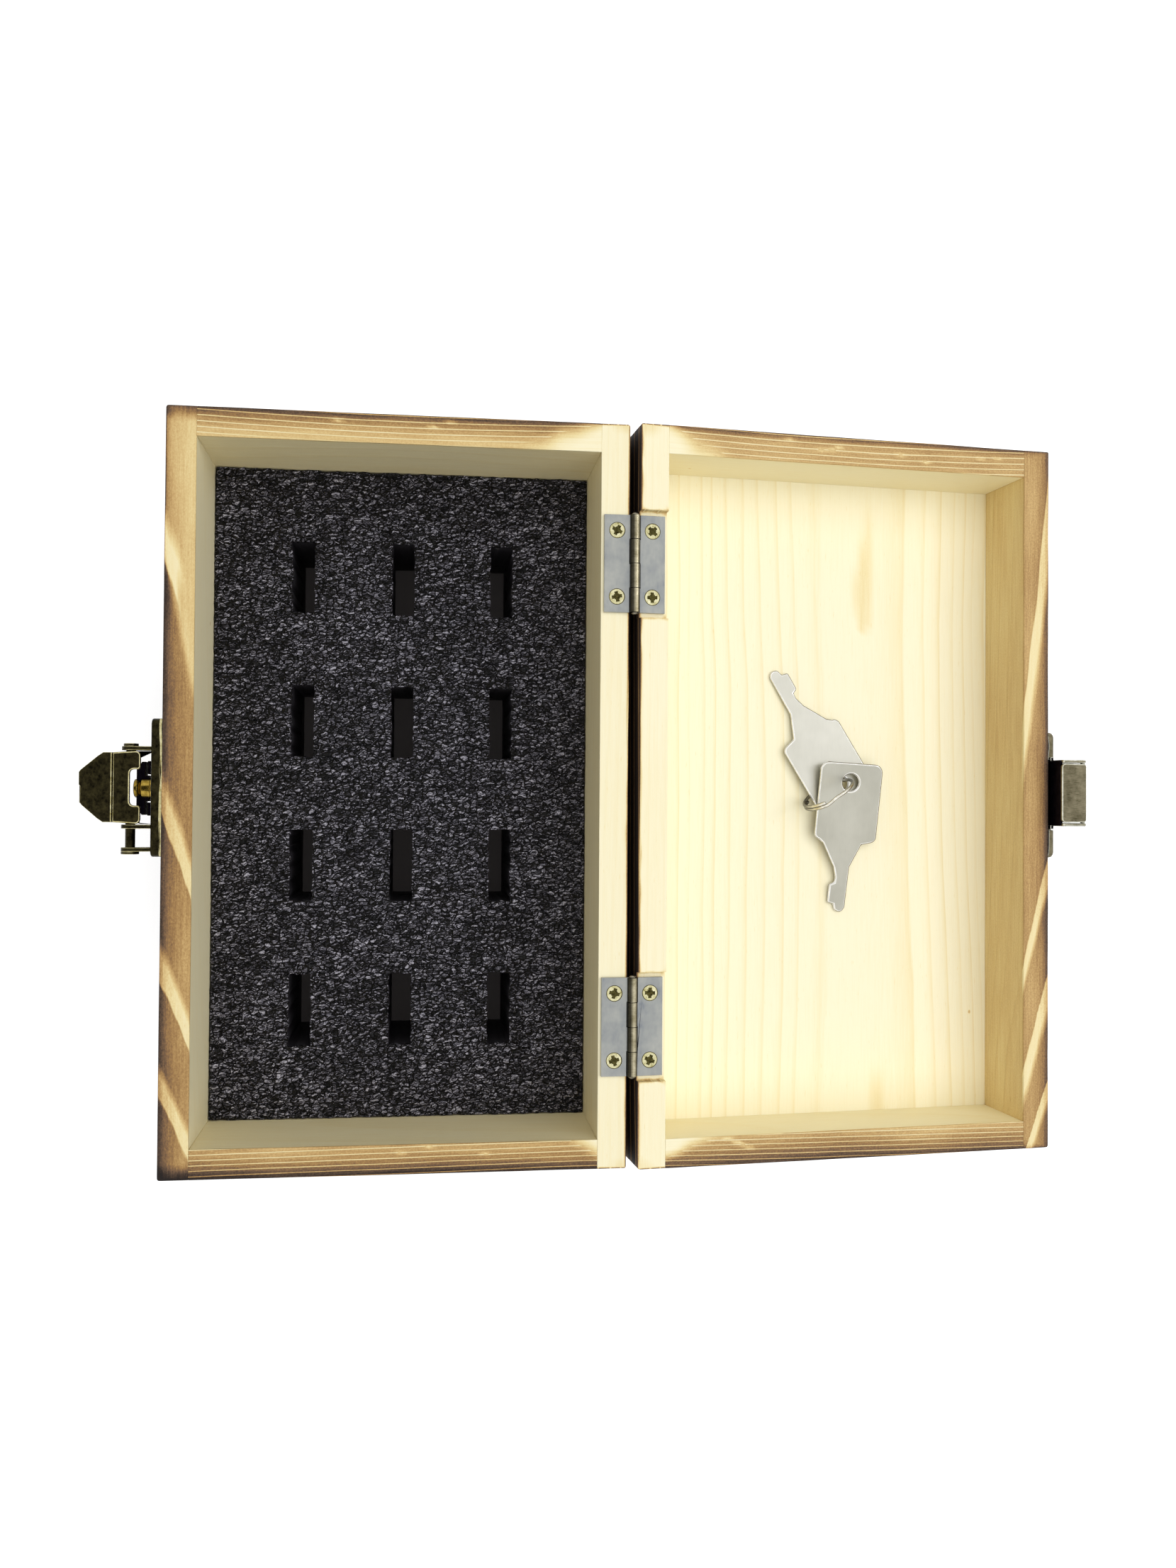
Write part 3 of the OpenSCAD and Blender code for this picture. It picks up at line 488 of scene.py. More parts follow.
def block(lines):
    """Points and faces of a box whose surface is gridded along the given lines."""
    counts = [len(line) for line in lines]
    surface = np.zeros(counts, bool)
    for axis in range(3):
        cut = [slice(None)] * 3
        for end in (0, -1):
            cut[axis] = end
            surface[tuple(cut)] = True
    index = -np.ones(counts, int)
    index[surface] = np.arange(surface.sum())
    points = np.stack(np.meshgrid(*lines, indexing="ij"), -1)[surface]
    faces = []
    for axis in range(3):
        for end in (0, -1):
            grid = index.take(end, axis=axis)
            quads = np.stack([grid[:-1, :-1], grid[1:, :-1], grid[1:, 1:], grid[:-1, 1:]], -1).reshape(-1, 4)
            if (end == 0) != (axis == 1):
                quads = quads[:, ::-1]
            faces.append(quads)
    return points, np.concatenate(faces)


def round_edges(points, low, high, faces_out, seed):
    """Rounds the box's edges: much where two sanded faces meet, little at seams."""
    radius_of = {("out", "out"): 0.7, ("out", "rim"): 0.28, ("in", "rim"): 0.22}
    for axis in range(3):
        a, b = [i for i in range(3) if i != axis]
        for side_a, edge_a in enumerate((low[a], high[a])):
            for side_b, edge_b in enumerate((low[b], high[b])):
                kinds = (faces_out[a][side_a], faces_out[b][side_b])
                along = np.zeros_like(points)
                along[:, 0] = points[:, axis]
                drift = wander(along, (5, 1, 1), seed + axis * 7 + side_a * 3 + side_b)
                radius = radius_of.get(kinds, 0.12) * (0.75 + 0.5 * drift)
                sign_a, sign_b = 1 - 2 * side_a, 1 - 2 * side_b
                in_a = radius - sign_a * (points[:, a] - edge_a)
                in_b = radius - sign_b * (points[:, b] - edge_b)
                size = np.maximum(np.hypot(in_a, in_b), 1e-9)
                near = (in_a > 0) & (in_b > 0) & (size > radius)
                pull = np.where(near, radius / size, 1.0)
                points[near, a] = (edge_a + sign_a * (radius - in_a * pull))[near]
                points[near, b] = (edge_b + sign_b * (radius - in_b * pull))[near]
    return points


def board(name, low, high, kinds, along, rings, burn, seed, step=1.2, marks=(), carve=None, marked=0.03):
    """One board. kinds says what each side is: out, rim, in or seam. rings and burn give the
    growth-ring count and the depth of char at its points, marked is how much darker the late
    wood is where it is bare, and marks are more grid lines across x."""
    lines = [block_lines(low[i], high[i], step if high[i] - low[i] > 12 else 0.6, () if i else marks)
             for i in range(3)]
    points, faces = block(lines)
    flat = points.copy()
    points = round_edges(points, low, high, kinds, seed)
    drift = np.stack([wander(flat, (14, 14, 14), seed + 40 + i) - 0.5 for i in range(3)], 1)
    points += drift * 0.08
    if kinds[2][1] == "rim":
        points[:, 2] = np.minimum(points[:, 2], high[2] - 0.05)
    if carve:
        points = carve(flat, points)
    body = name.split("_")[0]
    piece = new_piece(f"board_{name}", points, faces, [PINE], IN_LID if body == "lid" else IN_BASE)
    order = [along] + [i for i in range(3) if i != along]
    grain = flat[:, order] + np.array([seed * 311.0, seed * 57.0, seed * 23.0])
    for label, kind, values in (("grain", "FLOAT_VECTOR", grain), ("rings", "FLOAT", rings(flat)),
                                ("burn", "FLOAT", burn(flat, seed)),
                                ("marked", "FLOAT", np.full(len(flat), marked))):
        attribute = piece.data.attributes.new(label, kind, "POINT")
        attribute.data.foreach_set("vector" if kind == "FLOAT_VECTOR" else "value",
                                   np.ascontiguousarray(values, np.float32).ravel())
    if name in ("base_bottom", "lid_top"):
        settle(piece, body, "pale_pine", f"{name}_panel")
    else:
        settle(piece, body, "charred_pine", f"{name}_wall")


def smoothstep(low, high, value):
    """From 0 at low to 1 at high, with eased ends."""
    t = np.clip((value - low) / (high - low), 0, 1)
    return t * t * (3 - 2 * t)


def torched(rim, inner, fade=((0, 0), (1, 0)), lid=False, gold=0.0, flecks=()):
    """How dark one wall is, from 0 to 1: full outside, over the rim as deep as the torch went, with
    the burns at RIM_DEPTHS fading out towards the hinges, and inner inside, a given tone that on
    the lid's front wall and the base's panel paints shade. gold is how much of the front rim stayed
    golden at its low end. Flecks are small spots that stayed light: (along, from the outer edge)."""
    hinge_y, front_y, rim_z, out_z = (BACK, FRONT, BASE_HEIGHT, 0.0)
    if lid:
        hinge_y, front_y, rim_z, out_z = (0.0, DEPTH, 0.0, -LID_HEIGHT)

    def burn(p, seed):
        from_end = END - np.abs(p[:, 0])
        from_front = np.abs(front_y - p[:, 1])
        from_hinge = np.abs(p[:, 1] - hinge_y)
        under_rim = np.abs(rim_z - p[:, 2])
        edge = np.minimum(np.minimum(from_end, from_front), from_hinge)
        across = from_end if fade[1][1] else np.minimum(from_front, from_end * 2.2)
        rough = wander(p, (5, 5, 5), seed + 60)
        patch = wander(p, (28, 28, 12), seed + 61)
        low = fade[0][0] + fade[0][1] * across
        high = fade[1][0] + fade[1][1] * across
        strength = smoothstep(0, 1, (from_hinge + 5 * (rough - 0.5) - low) / (high - low))
        body = np.interp(across, RIM_DEPTHS, rim)
        slant = p[:, 0] - 4.7 * across
        pale = gold * smoothstep(-54, -62, slant) + 0.12 * gold * np.exp(-((slant + 66) / 7) ** 2)
        body = body * (0.90 + 0.20 * patch) * strength * (1 - pale)
        body = body + gold * smoothstep(4.2, 1.5, from_end) * (0.2 + 0.8 * rough)
        for along, inward in flecks:
            away = ((p[:, 1] - along) / 1.1) ** 2 + ((across - inward) / 0.38) ** 2
            body = body * (1 - 0.7 * np.exp(-away))
        line = (0.92 - 0.15 * smoothstep(9, 2, from_hinge)) * np.exp(-(edge / (0.22 + 0.3 * rough)) ** 2)
        smudge = 0.42 * smoothstep(8, 0, from_hinge) * smoothstep(4.5, 0, from_end) * rough
        on_rim = np.maximum(np.maximum(body, line), np.maximum(smudge, 0.02 + 0.03 * patch))
        inside = inner * (0.9 + 0.2 * patch) + 0.10 * np.exp(-under_rim / 0.5)
        is_inside = smoothstep(WALL - 0.5, WALL - 0.1, edge) * smoothstep(0.15, 0.7, under_rim)
        shell = on_rim * (1 - is_inside) + inside * is_inside
        is_outside = np.maximum(smoothstep(0.5, 0.0, edge), smoothstep(0.5, 0.0, np.abs(p[:, 2] - out_z)))
        is_outside = is_outside * smoothstep(0.1, 0.9, under_rim)
        return shell * (1 - is_outside) + (0.86 + 0.16 * patch) * is_outside
    return burn


def lid_panel_burn(p, seed):
    """The lid's panel: bare inside but for a resin streak, torched outside."""
    shell = torched([0.0] * 6, 0.0, lid=True)(p, seed)
    along, across = p[:, 0], p[:, 1] - 70.8 - 0.8 * np.sin(p[:, 0] / 7)
    wide = np.interp(along, [-95, -74, -60, -50, -44], [0.8, 1.6, 2.9, 2.2, 0.2])
    streak = np.exp(-(across / wide) ** 4) * smoothstep(-43, -48, along) * smoothstep(-90, -66, along)
    low_streak = np.exp(-((p[:, 1] - 75) / 2.2) ** 4) * smoothstep(72, 84, along)
    on_floor = smoothstep(LID_FLOOR - 0.2, LID_FLOOR, p[:, 2])
    return shell + (0.13 * streak + 0.10 * low_streak) * on_floor


def lid_back_burn(p, seed):
    """The lid's hinge wall: bare, with scorched, ragged ends in its two mortises."""
    shell = torched(RIM["bare"], 0.05, lid=True)(p, seed)
    off = np.min([np.abs(np.abs(p[:, 0] - side * HINGE_PLACE) - MORTISE_HALF) for side in (-1, 1)], 0)
    rough = wander(p, (0.8, 1.2, 0.8), seed + 70)
    nick = smoothstep(WALL - 1.4, WALL - 0.4, p[:, 1]) + smoothstep(1.2, 0.2, p[:, 1])
    scorch = (0.12 + 0.30 * rough) * np.exp(-(off / (0.2 + 0.25 * rough + 0.5 * nick)) ** 2)
    return np.maximum(shell, scorch * smoothstep(-3, -1, p[:, 2]))


# Growth rings, counted at points in millimetres. A line of late wood lies just under each
# whole number.

def bowed(p, width, centre, spread, count):
    """Extra rings across a flat-sawn face, which draw its long arches."""
    return (((p[:, width] - centre) / spread) ** 2) * count


def slanted(x, thick, bands, crisp_side):
    """Ring count of a board whose rings slant through its thickness, so that each late band
    crosses the rim as a streak: (middle outside, middle inside, width) in millimetres. The
    streak is crisp towards crisp_side of x and soft on its other side."""
    starts = [crisp_side * band[0] for band in bands]
    turned = crisp_side * x
    order = np.argsort(starts)
    lean = [crisp_side * (bands[i][1] - bands[i][0]) / WALL for i in order]
    u = turned - thick * np.interp(turned - thick * np.mean(lean), np.array(starts)[order], lean)
    knots, counts = [-260.0], [-3.2]
    for number, i in enumerate(order):
        knots += [starts[i] - bands[i][2] * 0.5, starts[i] + bands[i][2] * 0.5]
        counts += [number + 0.755, number + 0.994]
    return np.interp(u, knots + [260.0], counts + [len(bands) + 1.6])


def side_rings(pitch, bow, tilt, centre):
    """Rings nearly parallel to the face: fine lines that bow along the rim, arches on the face."""
    def count(p):
        along = (p[:, 1] - (DEPTH / 2 if p[:, 1].max() > BACK + 1 else 0)) / BACK
        thick = END - np.abs(p[:, 0]) - bow * (1 - along ** 2) - tilt * along
        wave = wander(p, (5, 38, 30), 5) + 0.25 * wander(p, (1.6, 12, 12), 6)
        return thick / pitch + bowed(p, 2, centre, 26, 1.5) + 0.28 * wave
    return count


def base_front_rings(p):
    count = slanted(p[:, 0], p[:, 1] - FRONT, [(-1, 22, 13), (41, 58, 11), (70, 86, 9)], 1)
    return count + bowed(p, 2, 50, 30, 4) - ((BASE_HEIGHT - 50) / 30) ** 2 * 4


def lid_front_rings(p):
    count = slanted(p[:, 0], DEPTH - p[:, 1], [(-72, -4, 34), (21, 47, 12), (54, 78, 14), (81, 96, 9)], -1)
    return count + bowed(p, 2, 6, 24, 3) - (6 / 24) ** 2 * 3


def hinge_wall_rings(p):
    return p[:, 1] / 2.4 + p[:, 0] / 160 + bowed(p, 2, 30, 26, 2) + 0.8 * wander(p, (60, 5, 20), 9)


def panel_rings(p):
    wave = wander(p, (150, 26, 20), 31)
    return p[:, 1] / 6.1 + p[:, 0] / 420 + 1.6 * wave + p[:, 2] / 9


def lid_panel_rings(p):
    """Rings of the lid's panel: their lines run along it, close at its sides and wide apart
    over the heart, and lean away from the heart half-way along."""
    x, y = p[:, 0], p[:, 1]
    near = np.interp(x, [-95, -50, -30, 0, 40, 95], [0.0, 1.5, 2.8, 3.2, 3.0, 2.0])
    far = np.interp(x, [-95, -50, -20, 20, 60, 95], [0.0, -1.0, -0.5, 0.5, 2.5, 3.5])
    share = smoothstep(58, 80, y)
    grown = smoothstep(12, 50, y)
    shifted = y - near * (1 - share) * grown - far * share + 0.7 * (wander(p, (28, 5, 30), 33) - 0.5)
    # Late-wood lines half-way along, in millimetres from the hinge edge.
    lines = [0, 5, 9, 12.5, 16.5, 19, 23, 25.5, 29.5, 34, 38.5, 44, 48, 54, 83.5, 89.5, 94.3, 98.5,
             102, 104.5, 108, 116]
    return np.interp(shifted, lines, np.arange(len(lines)) - 0.06) + (p[:, 2] - LID_FLOOR) / 9


def cut_mortises(flat, points):
    """Sinks the two places for the hinge leaves into the lid's hinge wall."""
    sunk = np.zeros(len(flat))
    for side in (-1, 1):
        off = np.abs(flat[:, 0] - side * HINGE_PLACE)
        sunk = np.maximum(sunk, smoothstep(MORTISE_HALF + 0.12, MORTISE_HALF, off))
    share = smoothstep(-MORTISE_DEEP - 2.5, 0, flat[:, 2])
    points[:, 2] -= sunk * share * MORTISE_DEEP
    return points


# How charred each wall's rim is at RIM_DEPTHS.
RIM = {
    "base_front": (0.86, 0.68, 0.60, 0.54, 0.48, 0.50), "base_left": (0.78, 0.60, 0.49, 0.40, 0.33, 0.32),
    "base_right": (0.92, 0.76, 0.59, 0.51, 0.43, 0.44), "lid_front": (0.74, 0.57, 0.49, 0.43, 0.42, 0.45),
    "lid_left": (0.70, 0.48, 0.40, 0.40, 0.41, 0.38), "lid_right": (0.78, 0.66, 0.58, 0.50, 0.43, 0.38),
    "bare": (0.03, 0.02, 0.02, 0.02, 0.02, 0.02)}
# What the sides of a panel and of a wall are, where out_low says that its low side faces out.
PANEL_KINDS = (("out", "out"), ("out", "out"), ("out", "seam"))


def long_kinds(out_low):
    return ("out", "out"), ("out", "in") if out_low else ("in", "out"), ("seam", "rim")


def end_kinds(out_low):
    return ("out", "in") if out_low else ("in", "out"), ("seam", "seam"), ("seam", "rim")


def end_walls(body, low, high, inner, rows):
    """A box's left and right walls, between the y and z of low and high."""
    for side, label, seed, rings, fade, flecks in rows:
        x = sorted((side * END, side * (END - WALL)))
        name = f"{body}_{label}"
        burn = torched(RIM[name], inner, fade, lid=body == "lid", flecks=flecks)
        board(name, (x[0], *low), (x[1], *high), end_kinds(side < 0), 1, rings, burn, seed)


# The panel's inner tone of 0.50 paints shade on its upper face under the foam.
board("base_bottom", (-END, FRONT, 0), (END, BACK, PANEL), PANEL_KINDS, 0, panel_rings,
      torched(RIM["bare"], 0.50), 11, step=2.6)
board("base_front", (-END, FRONT, PANEL), (END, FRONT + WALL, BASE_HEIGHT), long_kinds(True), 0,
      base_front_rings, torched(RIM["base_front"], 0.05, gold=0.42), 12)
board("base_back", (-END, BACK - WALL, PANEL), (END, BACK, BASE_HEIGHT), long_kinds(False), 0,
      hinge_wall_rings, torched(RIM["bare"], 0.10), 13)
end_walls("base", (FRONT + WALL, PANEL), (BACK - WALL, BASE_HEIGHT), 0.10, (
    (-1, "left", 14, side_rings(1.42, 1.3, 0.0, 38), ((3, 0.9), (17, 2.4)),
     ((-16.2, 2.0), (11.9, 1.4), (7.5, 2.8))),
    (1, "right", 15, side_rings(1.3, 0.2, 0.8, 50), ((-2, 1.0), (3, 2.0)), ((22, 4.6), (8, 6.8), (1, 5.4)))))
board("lid_top", (-END, 0, -LID_HEIGHT), (END, DEPTH, LID_FLOOR), PANEL_KINDS, 0, lid_panel_rings,
      lid_panel_burn, 16, step=2.0, marked=0.105)
# The front wall's inner tone of 0.27 paints shade on its inner face, which is turned away from the light.
board("lid_front", (-END, DEPTH - WALL, LID_FLOOR), (END, DEPTH, 0), long_kinds(False), 0,
      lid_front_rings, torched(RIM["lid_front"], 0.27, lid=True), 17)
mortise_marks = [side * HINGE_PLACE + end * (MORTISE_HALF + extra) for side in (-1, 1)
                 for end in (-1, 1) for extra in (-0.5, -0.25, 0.0, 0.06, 0.12, 0.35, 0.7)]
board("lid_back", (-END, 0, LID_FLOOR), (END, WALL, 0), long_kinds(True), 0, hinge_wall_rings,
      lid_back_burn, 18, marks=mortise_marks, carve=cut_mortises)
end_walls("lid", (WALL, LID_FLOOR), (DEPTH - WALL, 0), 0.06, (
    (-1, "left", 19, side_rings(1.5, 1.2, -0.5, -8), ((3, 0.5), (10, 2.4)),
     ((40, 1.4), (54, 2.7), (52, 3.6), (71.6, 3.7), (79, 5.2), (95, 3.1), (100, 2.7), (49, 3.7))),
    (1, "right", 20, side_rings(1.25, -0.2, -1.2, -2), ((-3, 1.6), (3, 3.2)),
     ((30, 4.2), (28, 5.0), (26.5, 5.8), (24, 6.8)))))


# Foam insert

FOAM_GRID = (0.42, 0.62)
# Rows of points down the foam's flanks and slots: (below the top, how ragged).
FOAM_ROWS = ((0.5, 0.55), (1.8, 0.4), (6, 0.5), (16, 0.4), (30, 0.3))


def lines_through(marks, step):
    """Grid lines that pass through every mark, about step apart."""
    parts = [np.linspace(a, b, max(2, round((b - a) / step) + 1))[:-1] for a, b in zip(marks, marks[1:])]
    return np.concatenate(parts + [[marks[-1]]])


def foam_insert():
    """The foam block with its slots: a crinkled top, ragged slot rims and plain flanks."""
    half_x, half_y = END - WALL - FOAM_GAP, DEPTH / 2 - WALL - FOAM_GAP
    slot_x = [(row - 1.5) * SLOT_STEP_X for row in range(4)]
    slot_y = [(column - 1) * SLOT_STEP_Y for column in range(3)]
    marks_x = sorted([-half_x, half_x] + [c + s * SLOT_LONG / 2 for c in slot_x for s in (-1, 1)])
    marks_y = sorted([-half_y, half_y] + [c + s * SLOT_WIDE / 2 for c in slot_y for s in (-1, 1)])
    xs, ys = lines_through(marks_x, FOAM_GRID[0]), lines_through(marks_y, FOAM_GRID[1])
    where_x = [int(np.argmin(np.abs(xs - m))) for m in marks_x]
    where_y = [int(np.argmin(np.abs(ys - m))) for m in marks_y]
    grid = np.stack(np.meshgrid(xs, ys, indexing="ij"), -1).reshape(-1, 2)
    flat = np.column_stack([grid, np.zeros(len(grid))])
    bend = np.column_stack([wander(flat, (2.6, 4, 1), 71) - 0.5, wander(flat, (3, 5, 1), 72) - 0.5,
                            np.zeros(len(flat))]) * (2.4, 3.6, 0)
    crease = 1 - np.abs(2 * wander(flat + bend, (1.3, 3.4, 1), 73) - 1)
    swell = wander(flat, (11, 15, 1), 74) - 0.5
    top = FOAM_TOP - 0.5 * crease ** 3 + 0.12 * (wander(flat, (0.9, 1.8, 1), 75) - 0.5) + 0.35 * swell
    nudge = np.column_stack([wander(flat, (0.9, 1.1, 1), 76) - 0.5, wander(flat, (1.1, 0.9, 1), 77) - 0.5])
    points = np.column_stack([grid + nudge * 0.5, top])
    # Rims by the numbers of their marks: the outer edge, then the slots.
    rims = [(0, len(marks_x) - 1, 0, len(marks_y) - 1)]
    rims += [(i, i + 1, j, j + 1) for i in (1, 3, 5, 7) for j in (1, 3, 5)]
    kept = np.ones((len(xs) - 1, len(ys) - 1), bool)
    for i0, i1, j0, j1 in rims[1:]:
        kept[where_x[i0]:where_x[i1], where_y[j0]:where_y[j1]] = False
    number = np.arange(len(grid)).reshape(len(xs), len(ys))
    quads = np.stack([number[:-1, :-1], number[1:, :-1], number[1:, 1:], number[:-1, 1:]], -1)[kept]
    points, faces = list(points), [tuple(q) for q in quads]
    coarse = {}
    for i, mx in enumerate(marks_x):
        for j, my in enumerate(marks_y):
            coarse[i, j] = len(points)
            points.append(np.array([mx, my, PANEL]))
    for i in range(len(marks_x) - 1):
        for j in range(len(marks_y) - 1):
            faces.append((coarse[i, j], coarse[i, j + 1], coarse[i + 1, j + 1], coarse[i + 1, j]))
    for number_of_rim, (i0, i1, j0, j1) in enumerate(rims):
        a, b, c, d = where_x[i0], where_x[i1], where_y[j0], where_y[j1]
        sides = [[number[i, c] for i in range(a, b + 1)], [number[b, j] for j in range(c, d + 1)],
                 [number[i, d] for i in range(b, a - 1, -1)], [number[a, j] for j in range(d, c - 1, -1)]]
        loop = [v for side in sides for v in side[:-1]]
        middle = np.array([(xs[a] + xs[b]) / 2, (ys[c] + ys[d]) / 2])
        half = np.array([(xs[b] - xs[a]) / 2, (ys[d] - ys[c]) / 2])
        level, rows = np.array([points[v] for v in loop]), [list(loop)]
        away = (level[:, :2] - middle) / half
        away = np.where(np.abs(away) > 0.999, np.sign(away), 0)
        for depth, ragged in FOAM_ROWS:
            row = level.copy()
            row[:, 2] = np.minimum(row[:, 2], FOAM_TOP) - depth
            jag = (wander(row, (0.8, 0.8, 2.5), 80 + number_of_rim) - 0.5) * ragged
            direction = -1 if number_of_rim == 0 else 1
            row[:, :2] += away * ((jag + 0.5 * ragged * direction)[:, None])
            rows.append(list(range(len(points), len(points) + len(loop))))
            points.extend(row)
        faces.extend(walls(rows))
        foot_of, start = coarse, 0
        if number_of_rim:
            # A skin of foam is left at the bottom of each slot.
            foot_of = {}
            for i, j in ((i0, j0), (i1, j0), (i1, j1), (i0, j1)):
                foot_of[i, j] = len(points)
                points.append(np.array([marks_x[i], marks_y[j], PANEL + SLOT_SKIN]))
            faces.append(tuple(foot_of.values()))
        feet = [[foot_of[i, j0] for i in range(i0, i1 + 1)], [foot_of[i1, j] for j in range(j0, j1 + 1)],
                [foot_of[i, j1] for i in range(i1, i0 - 1, -1)],
                [foot_of[i0, j] for j in range(j1, j0 - 1, -1)]]
        for side, foot in zip(sides, feet):
            last = [rows[-1][(start + k) % len(loop)] for k in range(len(side))]
            faces.append(tuple(last + foot[::-1]))
            start += len(side) - 1
    piece = new_piece("foam_insert_slotted", points, faces, [FOAM, FOAM_CUT, FOAM_SLOT_FLOOR_LIGHTENED], smooth=80)
    face_out(piece)
    for polygon in piece.data.polygons:
        if polygon.center[2] < (FOAM_TOP - 1.6) * MM:
            polygon.material_index = 1
        # The skins at the slots' bottoms take the copy painted lighter.
        if abs(polygon.center[2] - (PANEL + SLOT_SKIN) * MM) < 0.1 * MM:
            polygon.material_index = 2
    settle(piece, "base", "black_foam", "foam_insert")


foam_insert()


# Screws, by Geometry Nodes

def screw_tree():
    """Countersunk cross-head screws on every point of the mesh, aimed by its aim attribute."""
    tree = bpy.data.node_groups.new("cross_head_screws", "GeometryNodeTree")
    for name, kind in (("Geometry", "Geometry"), ("Head Diameter", "Float"), ("Shank Diameter", "Float"),
                       ("Rise", "Float"), ("Length", "Float"), ("Seed", "Int"),
                       ("Head Finish", "Material"), ("Recess Shade Finish", "Material")):
        tree.interface.new_socket(name, in_out="INPUT", socket_type="NodeSocket" + kind)
    tree.interface.new_socket("Geometry", in_out="OUTPUT", socket_type="NodeSocketGeometry")
    given = add(tree, "NodeGroupInput", out=None).outputs
    half = {name: add(tree, "Math", {0: given[name], 1: 0.5}, operation="MULTIPLY")
            for name in ("Head Diameter", "Shank Diameter")}
    down, foot = [add(tree, "Math", {0: given[name], 1: -1.0}, operation="MULTIPLY")
                  for name in ("Rise", "Length")]
    shank, head, shells = half["Shank Diameter"], half["Head Diameter"], []
    # Shank, countersunk cone, and two low steps that make the head slightly domed.
    for low_z, high_z, low_r, high_r in (
            (foot, down, (shank, 0.3), (shank, 1.0)), (down, -0.00014, (shank, 0.98), (head, 1.0)),
            (-0.00016, -0.00002, (head, 0.995), (head, 0.98)),
            (-0.00004, 0.00007, (head, 0.985), (head, 0.90)),
            (-0.00030, 0.00001, (head, 0.70), (head, 1.03))):
        radii = [add(tree, "Math", {0: source, 1: share}, operation="MULTIPLY")
                 for source, share in (low_r, high_r)]
        tall = add(tree, "Math", {0: high_z, 1: low_z}, operation="SUBTRACT")
        cone = add(tree, "GeometryNodeMeshCone", {
            "Vertices": 40, "Radius Bottom": radii[0], "Radius Top": radii[1], "Depth": tall})
        shift = add(tree, "CombineXYZ", {"Z": low_z})
        shells.append(add(tree, "GeometryNodeTransform", {"Geometry": cone, "Translation": shift}))
    # The last cone is a dark ring of painted shadow just round the head.
    head_shadow_ring = add(tree, "GeometryNodeSetMaterial", {
        "Geometry": shells.pop(), "Material": given["Recess Shade Finish"]})
    united = add(tree, "GeometryNodeMeshBoolean", operation="UNION", solver="EXACT", out=None)
    for shell in shells:
        tree.links.new(shell, united.inputs["Mesh 2"])
    whole = add(tree, "GeometryNodeSetMaterial", {
        "Geometry": united.outputs["Mesh"], "Material": given["Head Finish"]})
    cut = add(tree, "GeometryNodeMeshBoolean", {
        "Mesh 1": whole}, operation="DIFFERENCE", solver="EXACT", out=None)
    # The cross recess: two bars and a square middle, as shares of the head.
    for shares in ((0.66, 0.22), (0.22, 0.66), (0.34, 0.34)):
        sides = {axis: add(tree, "Math", {
            0: given["Head Diameter"], 1: share}, operation="MULTIPLY")
            for axis, share in zip("XY", shares)}
        size = add(tree, "CombineXYZ", {**sides, "Z": 0.0008})
        arm = add(tree, "GeometryNodeMeshCube", {"Size": size})
        tree.links.new(add(tree, "GeometryNodeSetMaterial", {
            "Geometry": arm, "Material": given["Recess Shade Finish"]}), cut.inputs["Mesh 2"])
    one = add(tree, "GeometryNodeJoinGeometry", out=None)
    tree.links.new(head_shadow_ring, one.inputs[0])
    tree.links.new(cut.outputs["Mesh"], one.inputs[0])
    aim = add(tree, "GeometryNodeInputNamedAttribute", {"Name": "aim"}, data_type="FLOAT_VECTOR")
    stood = add(tree, "GeometryNodeInstanceOnPoints", {
        "Points": given["Geometry"], "Instance": one.outputs[0], "Rotation": aim})
    turn = add(tree, "FunctionNodeRandomValue", {
        "Min": 0.0, "Max": 1.57, "Seed": given["Seed"]}, data_type="FLOAT", out=None)
    spin = add(tree, "CombineXYZ", {
        "Z": next(o for o in turn.outputs if o.enabled and o.type == "VALUE")})
    turned = add(tree, "GeometryNodeRotateInstances", {"Instances": stood, "Rotation": spin})
    plain = add(tree, "GeometryNodeRealizeInstances", {"Geometry": turned})
    add(tree, "NodeGroupOutput", {"Geometry": plain}, out=None)
    return tree


SCREWS = screw_tree()


def screws(name, node, places, tilt, place, sizes, seed, slot, head_finish, recess_shade_finish):
    """Screws at places in millimetres as one plain mesh, tilted from upright by quarter turns
    about x."""
    mesh = raw_mesh(name, places, [], place)
    turned = (place.to_3x3() @ Matrix.Rotation(tilt * math.pi / 2, 3, "X")).to_euler()
    attribute = mesh.attributes.new("aim", "FLOAT_VECTOR", "POINT")
    attribute.data.foreach_set("vector", [c for _ in places for c in turned])
    piece = in_scene(name, mesh)
    modifier = piece.modifiers.new("screws", "NODES")
    modifier.node_group = SCREWS
    inputs = {s.name: s.identifier for s in SCREWS.interface.items_tree if s.in_out == "INPUT"}
    for label, value in zip(("Head Diameter", "Shank Diameter", "Rise", "Length"), sizes):
        modifier[inputs[label]] = value * MM
    modifier[inputs["Seed"]] = seed
    modifier[inputs["Head Finish"]] = head_finish
    modifier[inputs["Recess Shade Finish"]] = recess_shade_finish
    finished(piece)
    soften(piece.data, 28)
    settle(piece, "lid" if place == IN_LID else "base", slot, node)


